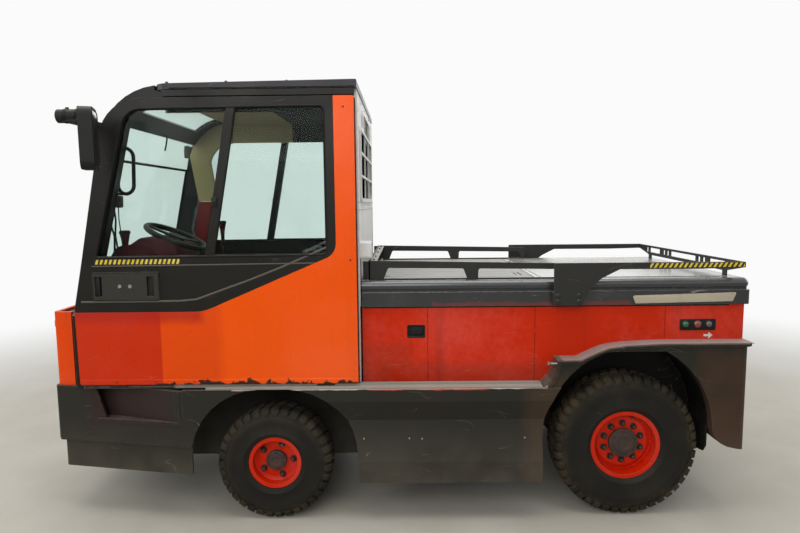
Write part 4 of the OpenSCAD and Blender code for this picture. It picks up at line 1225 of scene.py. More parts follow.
@dataclass
class RunningGear(Assembly):
    """Wheels, axles and frame."""

    motor_z: float = 337.5
    axles: dict[str, float] = field(default_factory=lambda: {"front": 604.0, "rear": -1046.0})
    sizes: dict[str, dict[str, Union[float, str]]] = field(default_factory=lambda: {
        "front": {"axle_z": 270.0, "mid_y": 544.5, "radius": 270.0, "half_width": 77.5, "bead": 114.3,
                  "lugs": 35, "tread": 8.5, "hub_radius": 49.0, "hub_height": 32.0, "nut_ring": 78.0,
                  "nut_height": 6.5, "nuts": 5, "dusty": "#463f33"},
        "rear": {"axle_z": 337.5, "mid_y": 510.0, "radius": 337.5, "half_width": 90.0, "bead": 152.4,
                 "lugs": 44, "tread": 8.5, "hub_radius": 70.0, "hub_height": 47.0, "nut_ring": 90.0,
                 "nut_height": 20.0, "nuts": 10, "dusty": "#574b39"}})
    bodies: dict[tuple[str, Side], Body] = field(default_factory=lambda: {
        ("front", Side.LEFT): Body.WHEEL_FRONT_LEFT, ("front", Side.RIGHT): Body.WHEEL_FRONT_RIGHT,
        ("rear", Side.LEFT): Body.WHEEL_REAR_LEFT, ("rear", Side.RIGHT): Body.WHEEL_REAR_RIGHT})

    def build(self) -> None:
        """Builds the four wheels and dresses the axles, knuckles and frame."""
        for (row, side), body in self.bodies.items():
            Wheel(self.bench, f"{row}_{side.word}", body, side, axle_x=self.axles[row],
                  **self.sizes[row]).build()
        for node in ("chassis_frame", "front_frame", "front_axle", "rear_axle", "knuckle_left",
                     "knuckle_right"):
            self.bench.dress(node, "frame_black")
        self.bench.dress("battery_block", "battery")
        self._axle_details()

    def _axle_details(self) -> None:
        """Adds the bolts of the axle pads and the ribs of the drive motor."""
        shape = Shape()
        for x in self.axles.values():
            for dx in (-48, 48):
                for dy in (238, 282):
                    shape.cylinder((x + dx, dy, 290), (x + dx, dy, 408), 6, 12)
        shape.mirrored()
        for k in range(7):
            x = self.axles["rear"] + 120 + 34 * k
            shape.lathe((x, 0, self.motor_z), (1, 0, 0), [(104, 0), (112, 2), (112, 10), (104, 12)], 40)
        self.bench.piece(shape, "axle_bolts_and_motor_ribs", "frame_black", "frame_black", ease=0.6)


# Lower body


@dataclass
class LowerBody(Assembly):
    """Bumper, skirts, fenders and the stepped coupling."""

    pocket_x: float = 1658.0
    bolt_z: float = 402.0
    stop_bolt: tuple[float, float] = (624.0, 744.0)

    def build(self) -> None:
        """Builds the fixings of the lower body and dresses its panels."""
        for node in ("front_bumper", "skirt_left", "skirt_right", "rear_fender_left", "rear_fender_right",
                     "rear_bumper"):
            self.bench.dress(node, "bumper_grey")
        self.bench.dress("tow_coupling", "cast_steel")
        self.bench.dress("front_tow_pocket", "cast_steel")
        self.bench.dress("tow_pin", "bright_steel")
        self._fixings()
        self._tow_gear()

    def _fixings(self) -> None:
        """Adds the panel bolts, the stop bolt on the fender and the flaps behind the rear wheels."""
        shape = Shape()
        for x, z in ((-30, self.bolt_z), (-88, self.bolt_z - 2), (180, self.bolt_z), (-560, self.bolt_z)):
            shape.lathe((x, 644, z), (0, 1, 0), [(4.5, -2), (4.5, 0.6), (2.5, 1.4)], 12)
        for x in (-590, -420, 60, 330):
            shape.lathe((x, 650, 604), (0, 1, 0), [(6, -2), (6, -0.9), (3, -0.2)], 12)
        shape.cylinder((-716, *self.stop_bolt), (-672, *self.stop_bolt), 6.0, 16)
        shape.lathe((-672, *self.stop_bolt), (1, 0, 0), [(10.5, 0), (10.5, 7), (8.5, 8.5)], 6)
        self.bench.piece(shape.mirrored(), "panel_bolts", "bolt_zinc", "bumper_grey", ease=0.2)
        flap = Shape().prism(Axis.X, [(400, 440), (585, 440), (585, 335), (560, 300), (400, 270)], -1424, -1418)
        self.bench.piece(flap.mirrored(), "mud_flaps", "gasket", "frame_black", ease=1.0)

    def _tow_gear(self) -> None:
        """Adds the coupling's bolts and the edge of the front tow pocket."""
        shape = Shape()
        for y in (-80, 80):
            for z in (362, 430, 498, 566):
                shape.bolt((-1598, y, z), (-1, 0, 0), 16.0)
        for y in (-86, 86):
            for z in (270, 310):
                shape.bolt((1650, y, z), (1, 0, 0), 13.0)
        self.bench.piece(shape, "coupling_bolts", "bolt_zinc", "cast_steel", ease=0.4)
        rim = Shape()
        outer = rounded_box(-70, 70, 246, 334, 8, 4)
        inner = rounded_box(-56, 56, 260, 320, 4, 4)
        rim.frame(Axis.X, outer, inner, self.pocket_x - 9, self.pocket_x, self.pocket_x - 9)
        self.bench.piece(rim, "tow_pocket_rim", "cast_steel", "bumper_grey")


# Cab


TAN_RAKE = math.tan(math.radians(11.9))


def screen_x(z: float) -> float:
    """Windscreen line of the cab's side at a height, in millimetres."""
    return 1517.0 - TAN_RAKE * (z - 1007.0)


@dataclass
class Doors(Assembly):
    """Trim of the sliding side doors: gaskets, tape, handles, ridge and screws."""

    face: float = 617.0
    panel_face: float = 620.0
    sill: float = 1245.0
    head: float = 1908.0
    ridge: tuple[tuple[float, float], ...] = (
        (1462, 1046), (1106, 1047), (1010, 1048), (935, 1054), (831, 1091), (692, 1140), (550, 1195),
        (388, 1264), (336, 1287))

    def build(self) -> None:
        """Builds the trim on both doors and dresses their panels."""
        for side, body in ((Side.LEFT, Body.DOOR_LEFT), (Side.RIGHT, Body.DOOR_RIGHT)):
            self.bench.dress(f"door_panel_{side.word}", "door_orange")
            self.bench.dress(f"door_frame_{side.word}", "cab_black")
            self.bench.dress(f"door_glass_{side.word}", "glass")
            self._gasket(side, body)
            self._tape(side, body)
            self._handles(side, body)
            self._trim(side, body)

    def _window(self, grow: float) -> list[tuple[float, float]]:
        """Outline of the window opening, grown by some millimetres.

        Args:
            grow: How much larger it is, in millimetres.

        Returns:
            The outline's points.
        """
        return rounded([(screen_x(self.sill) - 79 + grow, self.sill - grow, 14 + grow),
                        (screen_x(1905) - 110 + grow, self.head + grow, 90 + grow),
                        (334 - grow, 1915 + grow, 25 + grow), (334 - grow, self.sill + 5 - grow, 25 + grow)], 8)

    def _gasket(self, side: Side, body: Body) -> None:
        """Adds the rubber round the glass and the seals of the sliding pane.

        Args:
            side: Side of the tug.
            body: Body that the pieces ride on.
        """
        shape = Shape()
        shape.tube([(x, self.face - 3, z) for x, z in self._window(-2)], 5.5, 8, looped=True)
        shape.tube([(x, self.face - 13, z) for x, z in self._window(-5)], 4.0, 8, looped=True)
        for shift in (-3, 39):
            shape.tube([(849 + shift, self.face - 5, self.sill + 4),
                        (742 + shift - 14, self.face - 5, 1905)], 3, 8)
        shape.box(342, 884, self.face - 12, self.face - 1, self.sill + 2, self.sill + 14)
        self.bench.piece(shape.flip(side), f"window_gasket_{side.word}", "gasket", "cab_black", body)
        latch = Shape().box(822, 846, self.face - 4, self.face + 8, 1470, 1515)
        latch.box(828, 840, self.face + 6, self.face + 16, 1484, 1500)
        self.bench.piece(latch.flip(side), f"pane_latch_{side.word}", "trim_black", "cab_black", body, ease=2.0)

    def _tape(self, side: Side, body: Body) -> None:
        """Adds the hazard tape under the window.

        Args:
            side: Side of the tug.
            body: Body that the pieces ride on.
        """
        outline = rounded([(1002, 1218, 2), (1392, 1218, 2), (1389, 1239, 2), (1004, 1240, 2)], 3)
        shape = Shape().prism(Axis.Y, outline, self.face - 0.5, self.face + 0.6).flip(side)
        self.bench.piece(shape, f"sill_tape_{side.word}", "sill_tape", "cab_black", body, ease=0.0)

    def _handles(self, side: Side, body: Body) -> None:
        """Adds the grips in the recesses, the frame lines, the screws and the two locks.

        Args:
            side: Side of the tug.
            body: Body that the pieces ride on.
        """
        plate = self.panel_face
        shape = Shape()
        for x0, x1, hinge in ((1118, 1158, 1118), (1352, 1392, 1392)):
            ring = rounded_box(x0 - 6, x1 + 6, 1064, 1169, 4, 3)
            hole = rounded_box(x0, x1, 1071, 1162, 3, 3)
            shape.frame(Axis.Y, ring, hole, plate - 1, plate + 2.4, plate - 6)
            reach = 20 if hinge < 1200 else -20
            grip = rounded([(hinge, plate - 15, 0), (hinge, plate - 2, 0), (hinge + reach, plate - 3, 1.5),
                            (hinge + reach, plate - 8, 1.5), (hinge + reach * 0.3, plate - 15, 0)], 3)
            shape.prism(Axis.Z, grip, 1074, 1159)
        shape.box(1251, 1253.5, plate - 1, plate + 1.2, 1054, 1180)
        for x in (1165, 1216, 1290, 1350):
            shape.box(x, x + 1.6, plate - 1, plate + 0.9, 1060, 1174)
        self.bench.piece(shape.flip(side), f"door_grips_{side.word}", "trim_black", "cab_black", body, ease=0.7)
        locks = Shape()
        for x in (1232, 1279):
            locks.lathe((x, plate - 1, 1117), (0, 1, 0),
                        [(8.5, 0), (8.5, 5.6), (7.2, 6.6), (5.2, 6.6), (4.8, 5.8), (1, 5.8)], 24)
            locks.box(x - 0.8, x + 0.8, plate + 4.6, plate + 5.2, 1113.5, 1120.5)
        for x, z in ((1106, 1174), (1396, 1174), (1106, 1059), (1396, 1059), (1200, 1174), (1305, 1174)):
            locks.lathe((x, plate - 1, z), (0, 1, 0), [(3.6, 0), (3.6, 1.6), (2.2, 2.4)], 12)
        self.bench.piece(locks.flip(side), f"door_locks_{side.word}", "bolt_zinc", "cab_black", body, ease=0.2)

    def _trim(self, side: Side, body: Body) -> None:
        """Adds the pressed ridge and the line under the window, both painted light grey as painted highlights,
        the fold along the foot, the post seal and the screws.

        Args:
            side: Side of the tug.
            body: Body that the pieces ride on.
        """
        # The ridge and the line along the sill are painted light grey: painted highlight on their lit edges.
        ridge = Shape().tube([(x, self.face - 0.6, z) for x, z in self.ridge], 4.5, 10, flat=0.5)
        ridge.tube([(1404, self.face - 0.4, 1209), (346, self.face - 0.4, 1216)], 3.0, 8, flat=0.5)
        self.bench.piece(ridge.flip(side), f"door_ridge_{side.word}", "ridge_highlight_grey", "cab_black", body, ease=0.0)
        fold = Shape().prism(Axis.X, [(self.panel_face - 1, 658), (self.panel_face + 1.4, 659),
                                      (self.panel_face + 1.4, 681), (self.panel_face - 1, 684)], 206, 1486)
        self.bench.piece(fold.flip(side), f"door_fold_{side.word}", "door_orange", "door_orange", body,
                         ease=0.5)
        seal = Shape().box(198, 203.5, self.panel_face - 30, self.panel_face - 2, 662, 1945)
        seal.tube([(1489 - max(z - 1000, 0) * 0.2, self.face - 12, z)
                   for z in (666, 1000, 1200, 1400, 1600, 1700)], 5.0, 8)
        self.bench.piece(seal.flip(side), f"door_seal_{side.word}", "gasket", "cab_black", body)
        screws = Shape()
        for x, z in ((230, 1228), (250, 1905), (640, 1228), (1190, 1206), (440, 1950), (900, 1950)):
            screws.lathe((x, self.face + (2.5 if x < 260 else -0.5), z), (0, 1, 0),
                         [(4.2, 0), (4.2, 1.2), (2.6, 2.2)], 12)
        for x in range(240, 1500, 180):
            screws.lathe((x, self.panel_face + 1.2, 670), (0, 1, 0), [(3.4, 0), (3.4, 0.7), (2.0, 1.3)], 12)
        self.bench.piece(screws.flip(side), f"door_screws_{side.word}", "cab_black", "cab_black", body,
                         ease=0.2)


@dataclass
class Cab(Assembly):
    """Cab shell trim: glazing rubber, wiper, roof fixings, lining and rear wall seams."""

    brow: tuple[float, float] = (1060.4, 1715.0)
    roof_bolt_y: float = 605.0
    wiper_y: float = 430.0
    wiper_top: float = 1500.0

    def build(self) -> None:
        """Builds the shell's trim and dresses its panels."""
        for node, finish in (("cab_frame", "cab_black"), ("cab_roof", "roof_grey"), ("roof_window", "glass"),
                             ("windshield", "glass"), ("cab_rear_wall", "wall_grey"),
                             ("rear_window", "smoked_glass"), ("window_guard", "guard_white"),
                             ("cab_floor", "floor_steel")):
            self.bench.dress(node, finish)
        self._screen()
        self._wipers()
        self._roof()
        self._lining()
        self._rear_wall()

    def _screen(self) -> None:
        """Adds the rubber round the windscreen."""
        ring = [(screen_x(1010) - 2, 529, 1010), (screen_x(1010) - 2, -529, 1010)]
        path = [(screen_x(z) - 1, y, z) for y, z in
                rounded([(-526, 1014, 30), (526, 1014, 30), (526, 1700, 10), (-526, 1700, 10)], 6)]
        shape = Shape().tube(path, 7.0, 8, looped=True)
        shape.tube(ring, 8.0, 8)
        self.bench.piece(shape, "screen_rubber", "gasket", "cab_black", ease=0.0)

    def _wipers(self) -> None:
        """Adds the wiper parked upright on the windscreen and its hose from the header."""
        arms = Shape()
        blades = Shape()
        y = self.wiper_y
        arms.lathe((screen_x(1030) - 3, y, 1034), (1, 0, 0.2), [(16, 0), (16, 12), (11, 20), (6, 21)], 20)
        arms.tube([(screen_x(1036) + 14, y, 1036), (screen_x(1130) + 17, y + 4, 1130),
                   (screen_x(1290) + 15, y + 9, 1290)], 5.0, 8)
        blades.tube([(screen_x(z) + 5, y + 12, z) for z in (1080, 1200, 1300, 1400, self.wiper_top)], 3.0, 8)
        arms.tube([(screen_x(z) + 9 + 4 * math.sin((z - 1080) / 420 * math.pi), y + 12, z)
                   for z in (1095, 1160, 1230, 1290, 1350, 1420, 1485)], 2.6, 8)
        arms.tube([(1300, -10, 1872), (1272, 0, 1856), (1282, 0, 1800), (1290, 0, 1778)], 4.5, 8)
        self.bench.piece(arms, "wiper_arms", "trim_black", "cab_black", ease=0.3)
        self.bench.piece(blades, "wiper_blades", "gasket", "cab_black", ease=0.0)

    def _roof(self) -> None:
        """Adds the roof's bolts and the drip strip along its sides."""
        bolts = Shape()
        for x, z in ((1026, 2019.0), (764, 2020.0), (497, 2020.4), (226, 2020.4)):
            bolts.lathe((x, self.roof_bolt_y, z), (0, 0, 1), [(6.5, -4), (6.5, 2.4), (4.5, 4.2)], 12)
        self.bench.piece(bolts.mirrored(), "roof_bolts", "dark_steel", "roof_grey", ease=0.3)
        strip = Shape()
        strip.prism(Axis.X, [(611, 1992), (615, 1992), (615, 1996), (611.5, 1999)], 200, 1014).mirrored()
        self.bench.piece(strip, "roof_drip_strip", "gasket", "roof_grey")

    def _lining(self) -> None:
        """Adds the headlining, khaki in front and dark at the back, and the trim of the posts."""
        half = rounded([(-522, 1868, 0), (-522, 1980, 50), (522, 1980, 50), (522, 1900, 0), (517, 1900, 0),
                        (517, 1974, 44), (-517, 1974, 44), (-517, 1868, 0)], 8)
        self.bench.piece(Shape().prism(Axis.X, half, 684, 1070), "headlining", "headliner", "wall_grey")
        rear = Shape().prism(Axis.X, half, 240, 684)
        rear.box(236, 240, -522, 522, 1868, 1980)
        rear.box(240, 1060, 522.5, 524.5, 1900, 1930).box(240, 1060, -524.5, -522.5, 1868, 1930)
        self.bench.piece(rear, "rear_headlining", "liner_dark", "cab_black")
        arcs = ((285, (15, 30, 45, 60, 75, 90)), (150, (90, 75, 60, 45, 30, 15)))
        brow = [(self.brow[0] + radius * math.cos(math.radians(a)),
                 self.brow[1] + radius * math.sin(math.radians(a))) for radius, turns in arcs for a in turns]
        for name, finish, trim in (
                ("post_trim_upper", "headliner", brow + [(1172, 1505), (1290, 1505)]),
                ("post_trim_lower", "cab_red", [(1340, 1246), (1212, 1246), (1173, 1503), (1290, 1503)])):
            self.bench.piece(Shape().prism(Axis.Y, trim, -530, -505), name, finish, "dash_red", ease=4.0)
        post = Shape()
        for y0, y1 in ((498, 529), (-529, -498)):
            post.prism(Axis.Z, rounded_box(236, 262, y0, y1, 6, 3), 655, 1930)
        self.bench.piece(post, "inner_posts", "cab_red", "dash_red")

    def _rear_wall(self) -> None:
        """Adds the seams of the rear wall and its screws."""
        seams = Shape()
        for z in (1010, 1452):
            seams.box(190.5, 194.5, -560, 560, z, z + 5)
        for y in (-568, 564):
            seams.box(190.5, 194.5, y, y + 4, 1010, 1970)
        for y, z in ((-300, 1970), (300, 1970), (-540, 1490), (540, 1490), (-540, 1900), (540, 1900),
                     (-540, 1100), (540, 1100)):
            seams.bolt((194.5, y, z), (-1, 0, 0), 8.0)
        self.bench.piece(seams, "rear_wall_seams", "wall_grey", "wall_grey", ease=0.6)


@dataclass
class CabInside(Assembly):
    """Driver's place: dash fittings, levers, pedals, grab loop, mat and seats."""

    seat_x: float = 444.0
    mat_z: float = 650.4

    def build(self) -> None:
        """Builds the fittings and both seats."""
        self.bench.dress("dashboard", "dash_red")
        self.bench.dress("steering_wheel", "wheel_black")
        self._grab_loop()
        self._levers()
        self._pedals()
        self._gauges()
        self._seats()

    def _grab_loop(self) -> None:
        """Adds the loops on the front posts, the switch boxes below them and their cables."""
        loop = rounded([(1312, 1536, 38), (1238, 1536, 40), (1230, 1746, 42), (1302, 1746, 36)], 7)
        shape = Shape().tube([(x, 515, z) for x, z in loop], 8.5, 12, looped=True)
        for x0, x1, z in ((1275, 1390, 1536), (1266, 1350, 1746)):
            shape.tube([(x0, 515, z), (x1, 520, z)], 7.0, 10)
        box = rounded([(1300, 1472, 8), (1362, 1476, 8), (1358, 1530, 8), (1298, 1528, 8)], 4)
        shape.prism(Axis.Y, box, 496, 530)
        for x, sag, thick in ((1360, 10, 5.0), (1342, -4, 4.5), (1320, 3, 2.6)):
            shape.tube([(x, 504, 1478), (x + sag, 500, 1420), (x - sag, 496, 1340), (x - 4, 492, 1262),
                        (x - 2, 470, 1190)], thick, 8)
        self.bench.piece(shape.mirrored(), "grab_loops", "trim_black", "cab_black", ease=1.0)

    def _levers(self) -> None:
        """Adds the two hand levers with their cone-shaped gaiters, and the column stalk."""
        rods, knobs, cones = Shape(), Shape(), Shape()
        for x, y, top in ((1322, 452, 1366), (1127, -440, 1384)):
            rods.cylinder((x, y, 1130), (x, y, top - 90), 6.0, 12)
            cones.lathe((x, y, top - 160), (0, 0, 1),
                        [(14, 0), (11, 20), (11, 60), (14, 95), (20, 128), (23, 142)], 24)
            knobs.lathe((x, y, top - 20), (0, 0, 1), [(23, 0), (26, 5), (26, 12), (22, 18), (1, 20)], 24)
        rods.tube([(1206, 250, 1260), (1190, 330, 1282), (1180, 400, 1300)], 6.0, 10)
        rods.box(1100, 1186, -480, -400, 655, 1150)
        self.bench.piece(rods, "lever_rods", "dark_steel", "dash_red", ease=0.6)
        self.bench.piece(cones, "lever_gaiters", "dash_red", "dash_red", ease=0.0)
        self.bench.piece(knobs, "lever_knobs", "wheel_black", "wheel_black", ease=0.0)
        hump = rounded([(1345, 1222, 0), (1318, 1290, 20), (1255, 1330, 50), (1150, 1320, 40),
                        (1090, 1286, 20), (1070, 1222, 0)], 5)
        self.bench.piece(Shape().prism(Axis.Y, hump, 130, 440), "dash_hood", "dash_red", "dash_red", ease=14.0)

    def _pedals(self) -> None:
        """Adds the pedals and the ribbed floor mat."""
        shape = Shape()
        for y in (160, 260, 360):
            shape.tube([(1440, y, 880), (1405, y, 800), (1352, y, 742)], 8.0, 10)
            shape.prism(Axis.Y, [(1330, 700), (1372, 764), (1364, 770), (1322, 706)], y - 32, y + 32)
        self.bench.piece(shape, "pedals", "frame_black", "frame_black", ease=1.5)
        mat = Shape().box(270, 1440, -470, 470, self.mat_z, 655)
        for x in range(290, 1430, 24):
            mat.box(x, x + 9, -455, 455, 654, 657.5)
        self.bench.piece(mat, "floor_mat", "floor_mat", "floor_steel")

    def _gauges(self) -> None:
        """Adds the instrument hood, two round gauges without writing, and a row of switches."""
        slope = Vector((-0.55, 0, 0.84))
        hood = Shape()
        faces = Shape()
        for y in (-190, -300):
            hood.lathe((1340, y, 1282), slope, [(40, -14), (40, 14), (36, 16), (34, 12), (33, 4), (1, 4)], 36)
            faces.lathe((1340, y, 1282), slope, [(32, 3), (32, 6), (1, 6)], 36)
        for k in range(6):
            y = -330 + 62 * k
            hood.prism(Axis.Y, [(1410, 1200), (1436, 1196), (1432, 1206), (1414, 1212)], y, y + 34)
        self.bench.piece(hood, "gauge_hoods", "trim_black", "dash_red", ease=1.0)
        self.bench.piece(faces, "gauge_faces", "lamp_glass", "glass", ease=0.0)

    def _cushion(self, name: str, low: Point, high: Point, lean: float, cap: float) -> bpy.types.Object:
        """Makes a puffed cushion between two corners, drawn on the left seat.

        Args:
            name: Name of the piece.
            low: Lowest corner before leaning, in millimetres.
            high: Highest corner before leaning, in millimetres.
            lean: Backward lean in degrees about the cushion's lower rear edge.
            cap: How far a point may swell, in metres.

        Returns:
            The object, not yet riding on a body.
        """
        shape = Shape()
        outline = rounded_box(low[0], high[0], low[1], high[1], 46, 6)
        shape.prism(Axis.Z, outline, low[2], high[2])
        shape.ease(16.0, rounds=4)
        turn = Matrix.Rotation(math.radians(-lean), 4, "Y")
        pivot = Vector((low[0], 0, low[2]))
        for vert in shape.mesh.verts:
            vert.co = turn @ (vert.co - pivot) + pivot
        bmesh.ops.recalc_face_normals(shape.mesh, faces=shape.mesh.faces[:])
        bmesh.ops.scale(shape.mesh, vec=(MM, MM, MM), verts=shape.mesh.verts[:])
        data = bpy.data.meshes.new(name)
        shape.mesh.to_mesh(data)
        shape.mesh.free()
        obj = bpy.data.objects.new(name, data)
        bpy.context.scene.collection.objects.link(obj)
        self._puff(obj, cap)
        self._seam(obj)
        obj.data.shade_smooth()
        return obj

    @staticmethod
    def _apply(obj: bpy.types.Object) -> None:
        """Applies the object's modifiers to its mesh.

        Args:
            obj: The cushion.
        """
        graph = bpy.context.evaluated_depsgraph_get()
        made = bpy.data.meshes.new_from_object(obj.evaluated_get(graph))
        obj.modifiers.clear()
        obj.data = made

    def _puff(self, obj: bpy.types.Object, cap: float) -> None:
        """Swells a cushion with a short cloth simulation and keeps the result in its mesh.

        Args:
            obj: The cushion.
            cap: How far a point may swell, in metres.
        """
        remesh = obj.modifiers.new("even_mesh", "REMESH")
        remesh.mode = "VOXEL"
        remesh.voxel_size = 0.005
        self._apply(obj)
        start = [v.co.copy() for v in obj.data.vertices]
        cloth = obj.modifiers.new("puff", "CLOTH")
        cloth.settings.use_pressure = True
        cloth.settings.uniform_pressure_force = 4.0
        cloth.settings.effector_weights.gravity = 0.0
        cloth.settings.tension_stiffness = 22.0
        cloth.settings.compression_stiffness = 22.0
        cloth.point_cache.frame_end = 20
        for step in range(1, 21):
            bpy.context.scene.frame_set(step)
        self._apply(obj)
        bpy.context.scene.frame_set(1)
        for vert, before in zip(obj.data.vertices, start):
            move = vert.co - before
            if move.length > cap:
                vert.co = before + move.normalized() * cap
        smooth = obj.modifiers.new("round", "SUBSURF")
        smooth.levels = smooth.render_levels = 1
        self._apply(obj)

    @staticmethod
    def _seam(obj: bpy.types.Object) -> None:
        """Draws in two sewn channels along the cushion.

        Args:
            obj: The cushion.
        """
        points = [v.co for v in obj.data.vertices]
        low = Vector([min(p[i] for p in points) for i in range(3)])
        high = Vector([max(p[i] for p in points) for i in range(3)])
        middle = (low + high) / 2
        for vert in obj.data.vertices:
            for share in (0.33, 0.67):
                line = low.y + (high.y - low.y) * share
                near = max(0.0, 1 - abs(vert.co.y - line) / 0.009)
                vert.co += (middle - vert.co).normalized() * 0.0045 * near * near

    def _seats(self) -> None:
        """Builds both seats: shell, sliding base and two cushions each."""
        cloth = FINISHES["seat_black"].material(self.bench.effects)
        parts = (("cushion", (self.seat_x - 10, 58, 868), (self.seat_x + 392, 442, 922), 0.0, 0.020),
                 ("backrest", (self.seat_x - 34, 72, 948), (self.seat_x + 16, 428, 1262), -4.0, 0.018))
        made = {name: self._cushion(f"{name}_left", low, high, lean, cap)
                for name, low, high, lean, cap in parts}
        for side, node in ((Side.LEFT, "driver_seat"), (Side.RIGHT, "passenger_seat")):
            shell = Shape()
            shell.box(self.seat_x - 30, self.seat_x + 320, 80, 420, 658, 838)
            shell.box(self.seat_x - 20, self.seat_x + 380, 60, 440, 838, 866)
            back = rounded([(self.seat_x - 34, 850, 6), (self.seat_x - 14, 850, 6),
                            (self.seat_x - 50, 1262, 10), (self.seat_x - 82, 1262, 10)], 4)
            shell.prism(Axis.Y, back, 74, 426)
            for y in (92, 400):
                shell.box(self.seat_x - 34, self.seat_x + 330, y, y + 14, 652, 662)
            base = self.bench.piece(shell.flip(side), f"seat_shell_{side.word}", "seat_shell", "seat_black",
                                    ease=6.0)
            stand_ins = [base]
            for name in made:
                obj = made[name]
                if side is Side.RIGHT:
                    data = obj.data.copy()
                    for vert in data.vertices:
                        vert.co.y = -vert.co.y
                    data.flip_normals()
                    obj = bpy.data.objects.new(f"{name}_right", data)
                    bpy.context.scene.collection.objects.link(obj)
                else:
                    obj.data.materials.clear()
                    obj.data.materials.append(cloth)
                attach(obj, Body.TUG.value)
                stand_ins.append(obj)
                LOG.info("piece %s: padded, %d faces", obj.name, len(obj.data.polygons))
            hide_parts(node)


@dataclass
class Mirrors(Assembly):
    """Outside mirrors: glass, rim, the rings on the arm and its bolt."""

    turn: float = 20.0

    def build(self) -> None:
        """Builds the glass and the rims and dresses the heads."""
        for side in Side:
            self.bench.dress(f"mirror_{side.word}", "mirror_black")
        glass = Shape()
        rim = Shape()
        x = screen_x(1810)
        turn = math.radians(self.turn)

        def at(out: float, across: float, z: float) -> tuple[float, float, float]:
            """Point of the turned head: out counts forward from its middle, across to the outside."""
            return (x - 61 + out * math.cos(turn) - across * math.sin(turn),
                    796 + out * math.sin(turn) + across * math.cos(turn), z)

        outline = rounded([(-76, 1644, 24), (74, 1642, 24), (78, 1870, 24), (-76, 1872, 24)], 6)
        glass.loft([[at(-27.4, y, z) for y, z in outline], [at(-22, y, z) for y, z in outline]])
        self.bench.piece(glass.mirrored(), "mirror_faces", "mirror_glass", "mirror_black", ease=0.0)
        rim.tube([at(-26.4, y, z) for y, z in outline], 3.2, 8, looped=True)
        for out in (4, 44, 52):
            rim.lathe((x - 30 + out, 800, 1850), (1, 0, 0), [(28, 0), (30, 1), (30, 5), (28, 6)], 32)
        rim.bolt((x + 18, 800, 1877), (0, 0, 1), 13.0)
        self.bench.piece(rim.mirrored(), "mirror_rims", "trim_black", "mirror_black", ease=0.4)


# Nose and rear


@dataclass
class Nose(Assembly):
    """Headlamps, grille backing and turn lamps of the nose."""

    front: float = 1675.0
    lamp_y: float = 370.0
    lamp_z: float = 800.0

    def build(self) -> None:
        """Builds the lamps and the grille's backing and dresses the nose."""
        self.bench.dress("nose_panel", "nose_orange")
        bowl, cover, rings = Shape(), Shape(), Shape()
        x = self.front - 21
        centre = (x, self.lamp_y, self.lamp_z)
        bowl.lathe(centre, (1, 0, 0), [(70, 6), (68, 0), (52, -10), (20, -14), (18, -4), (1, 0)], 48)
        cover.lathe(centre, (1, 0, 0), [(71, 4), (71, 8), (52, 13), (24, 16), (1, 17)], 48)
        rings.lathe(centre, (1, 0, 0), [(73.5, -2), (73.5, 12), (84, 13), (85, 9), (84, -2)], 56, looped=True)
        for k in range(4):
            a = math.radians(45 + 90 * k)
            rings.bolt((x + 11, self.lamp_y + 79 * math.cos(a), self.lamp_z + 79 * math.sin(a)), (1, 0, 0), 6.0,
                       washer=False)
        for shape in (bowl, cover, rings):
            shape.mirrored()
        self.bench.piece(bowl, "headlamp_bowls", "reflector", "nose_orange", ease=0.0)
        self.bench.piece(cover, "headlamp_covers", "lamp_glass", "glass", ease=0.0)
        self.bench.piece(rings, "headlamp_rings", "trim_black", "nose_orange")
        self._turn_lamps()
        self._grille()

    def _turn_lamps(self) -> None:
        """Adds the amber lamps under the nose's edge."""
        base, lens = Shape(), Shape()
        outline = rounded_box(436, 500, 905, 945, 6, 4)
        base.prism(Axis.X, outline, 1646, 1658).mirrored()
        inner = rounded_box(440, 496, 909, 941, 5, 4)
        lens.prism(Axis.X, inner, 1657, 1664).mirrored()
        self.bench.piece(base, "turn_lamp_bases", "trim_black", "nose_orange", ease=1.0)
        self.bench.piece(lens, "turn_lamp_lenses", "lens_amber", "nose_orange", ease=2.0)

    def _grille(self) -> None:
        """Adds a dark mesh behind the grille slots."""
        shape = Shape().box(1632, 1636, -250, 250, 690, 874)
        for y in range(-240, 241, 16):
            shape.box(1636, 1640, y, y + 3, 692, 872)
        self.bench.piece(shape, "grille_backing", "trim_black", "nose_orange", ease=0.4)


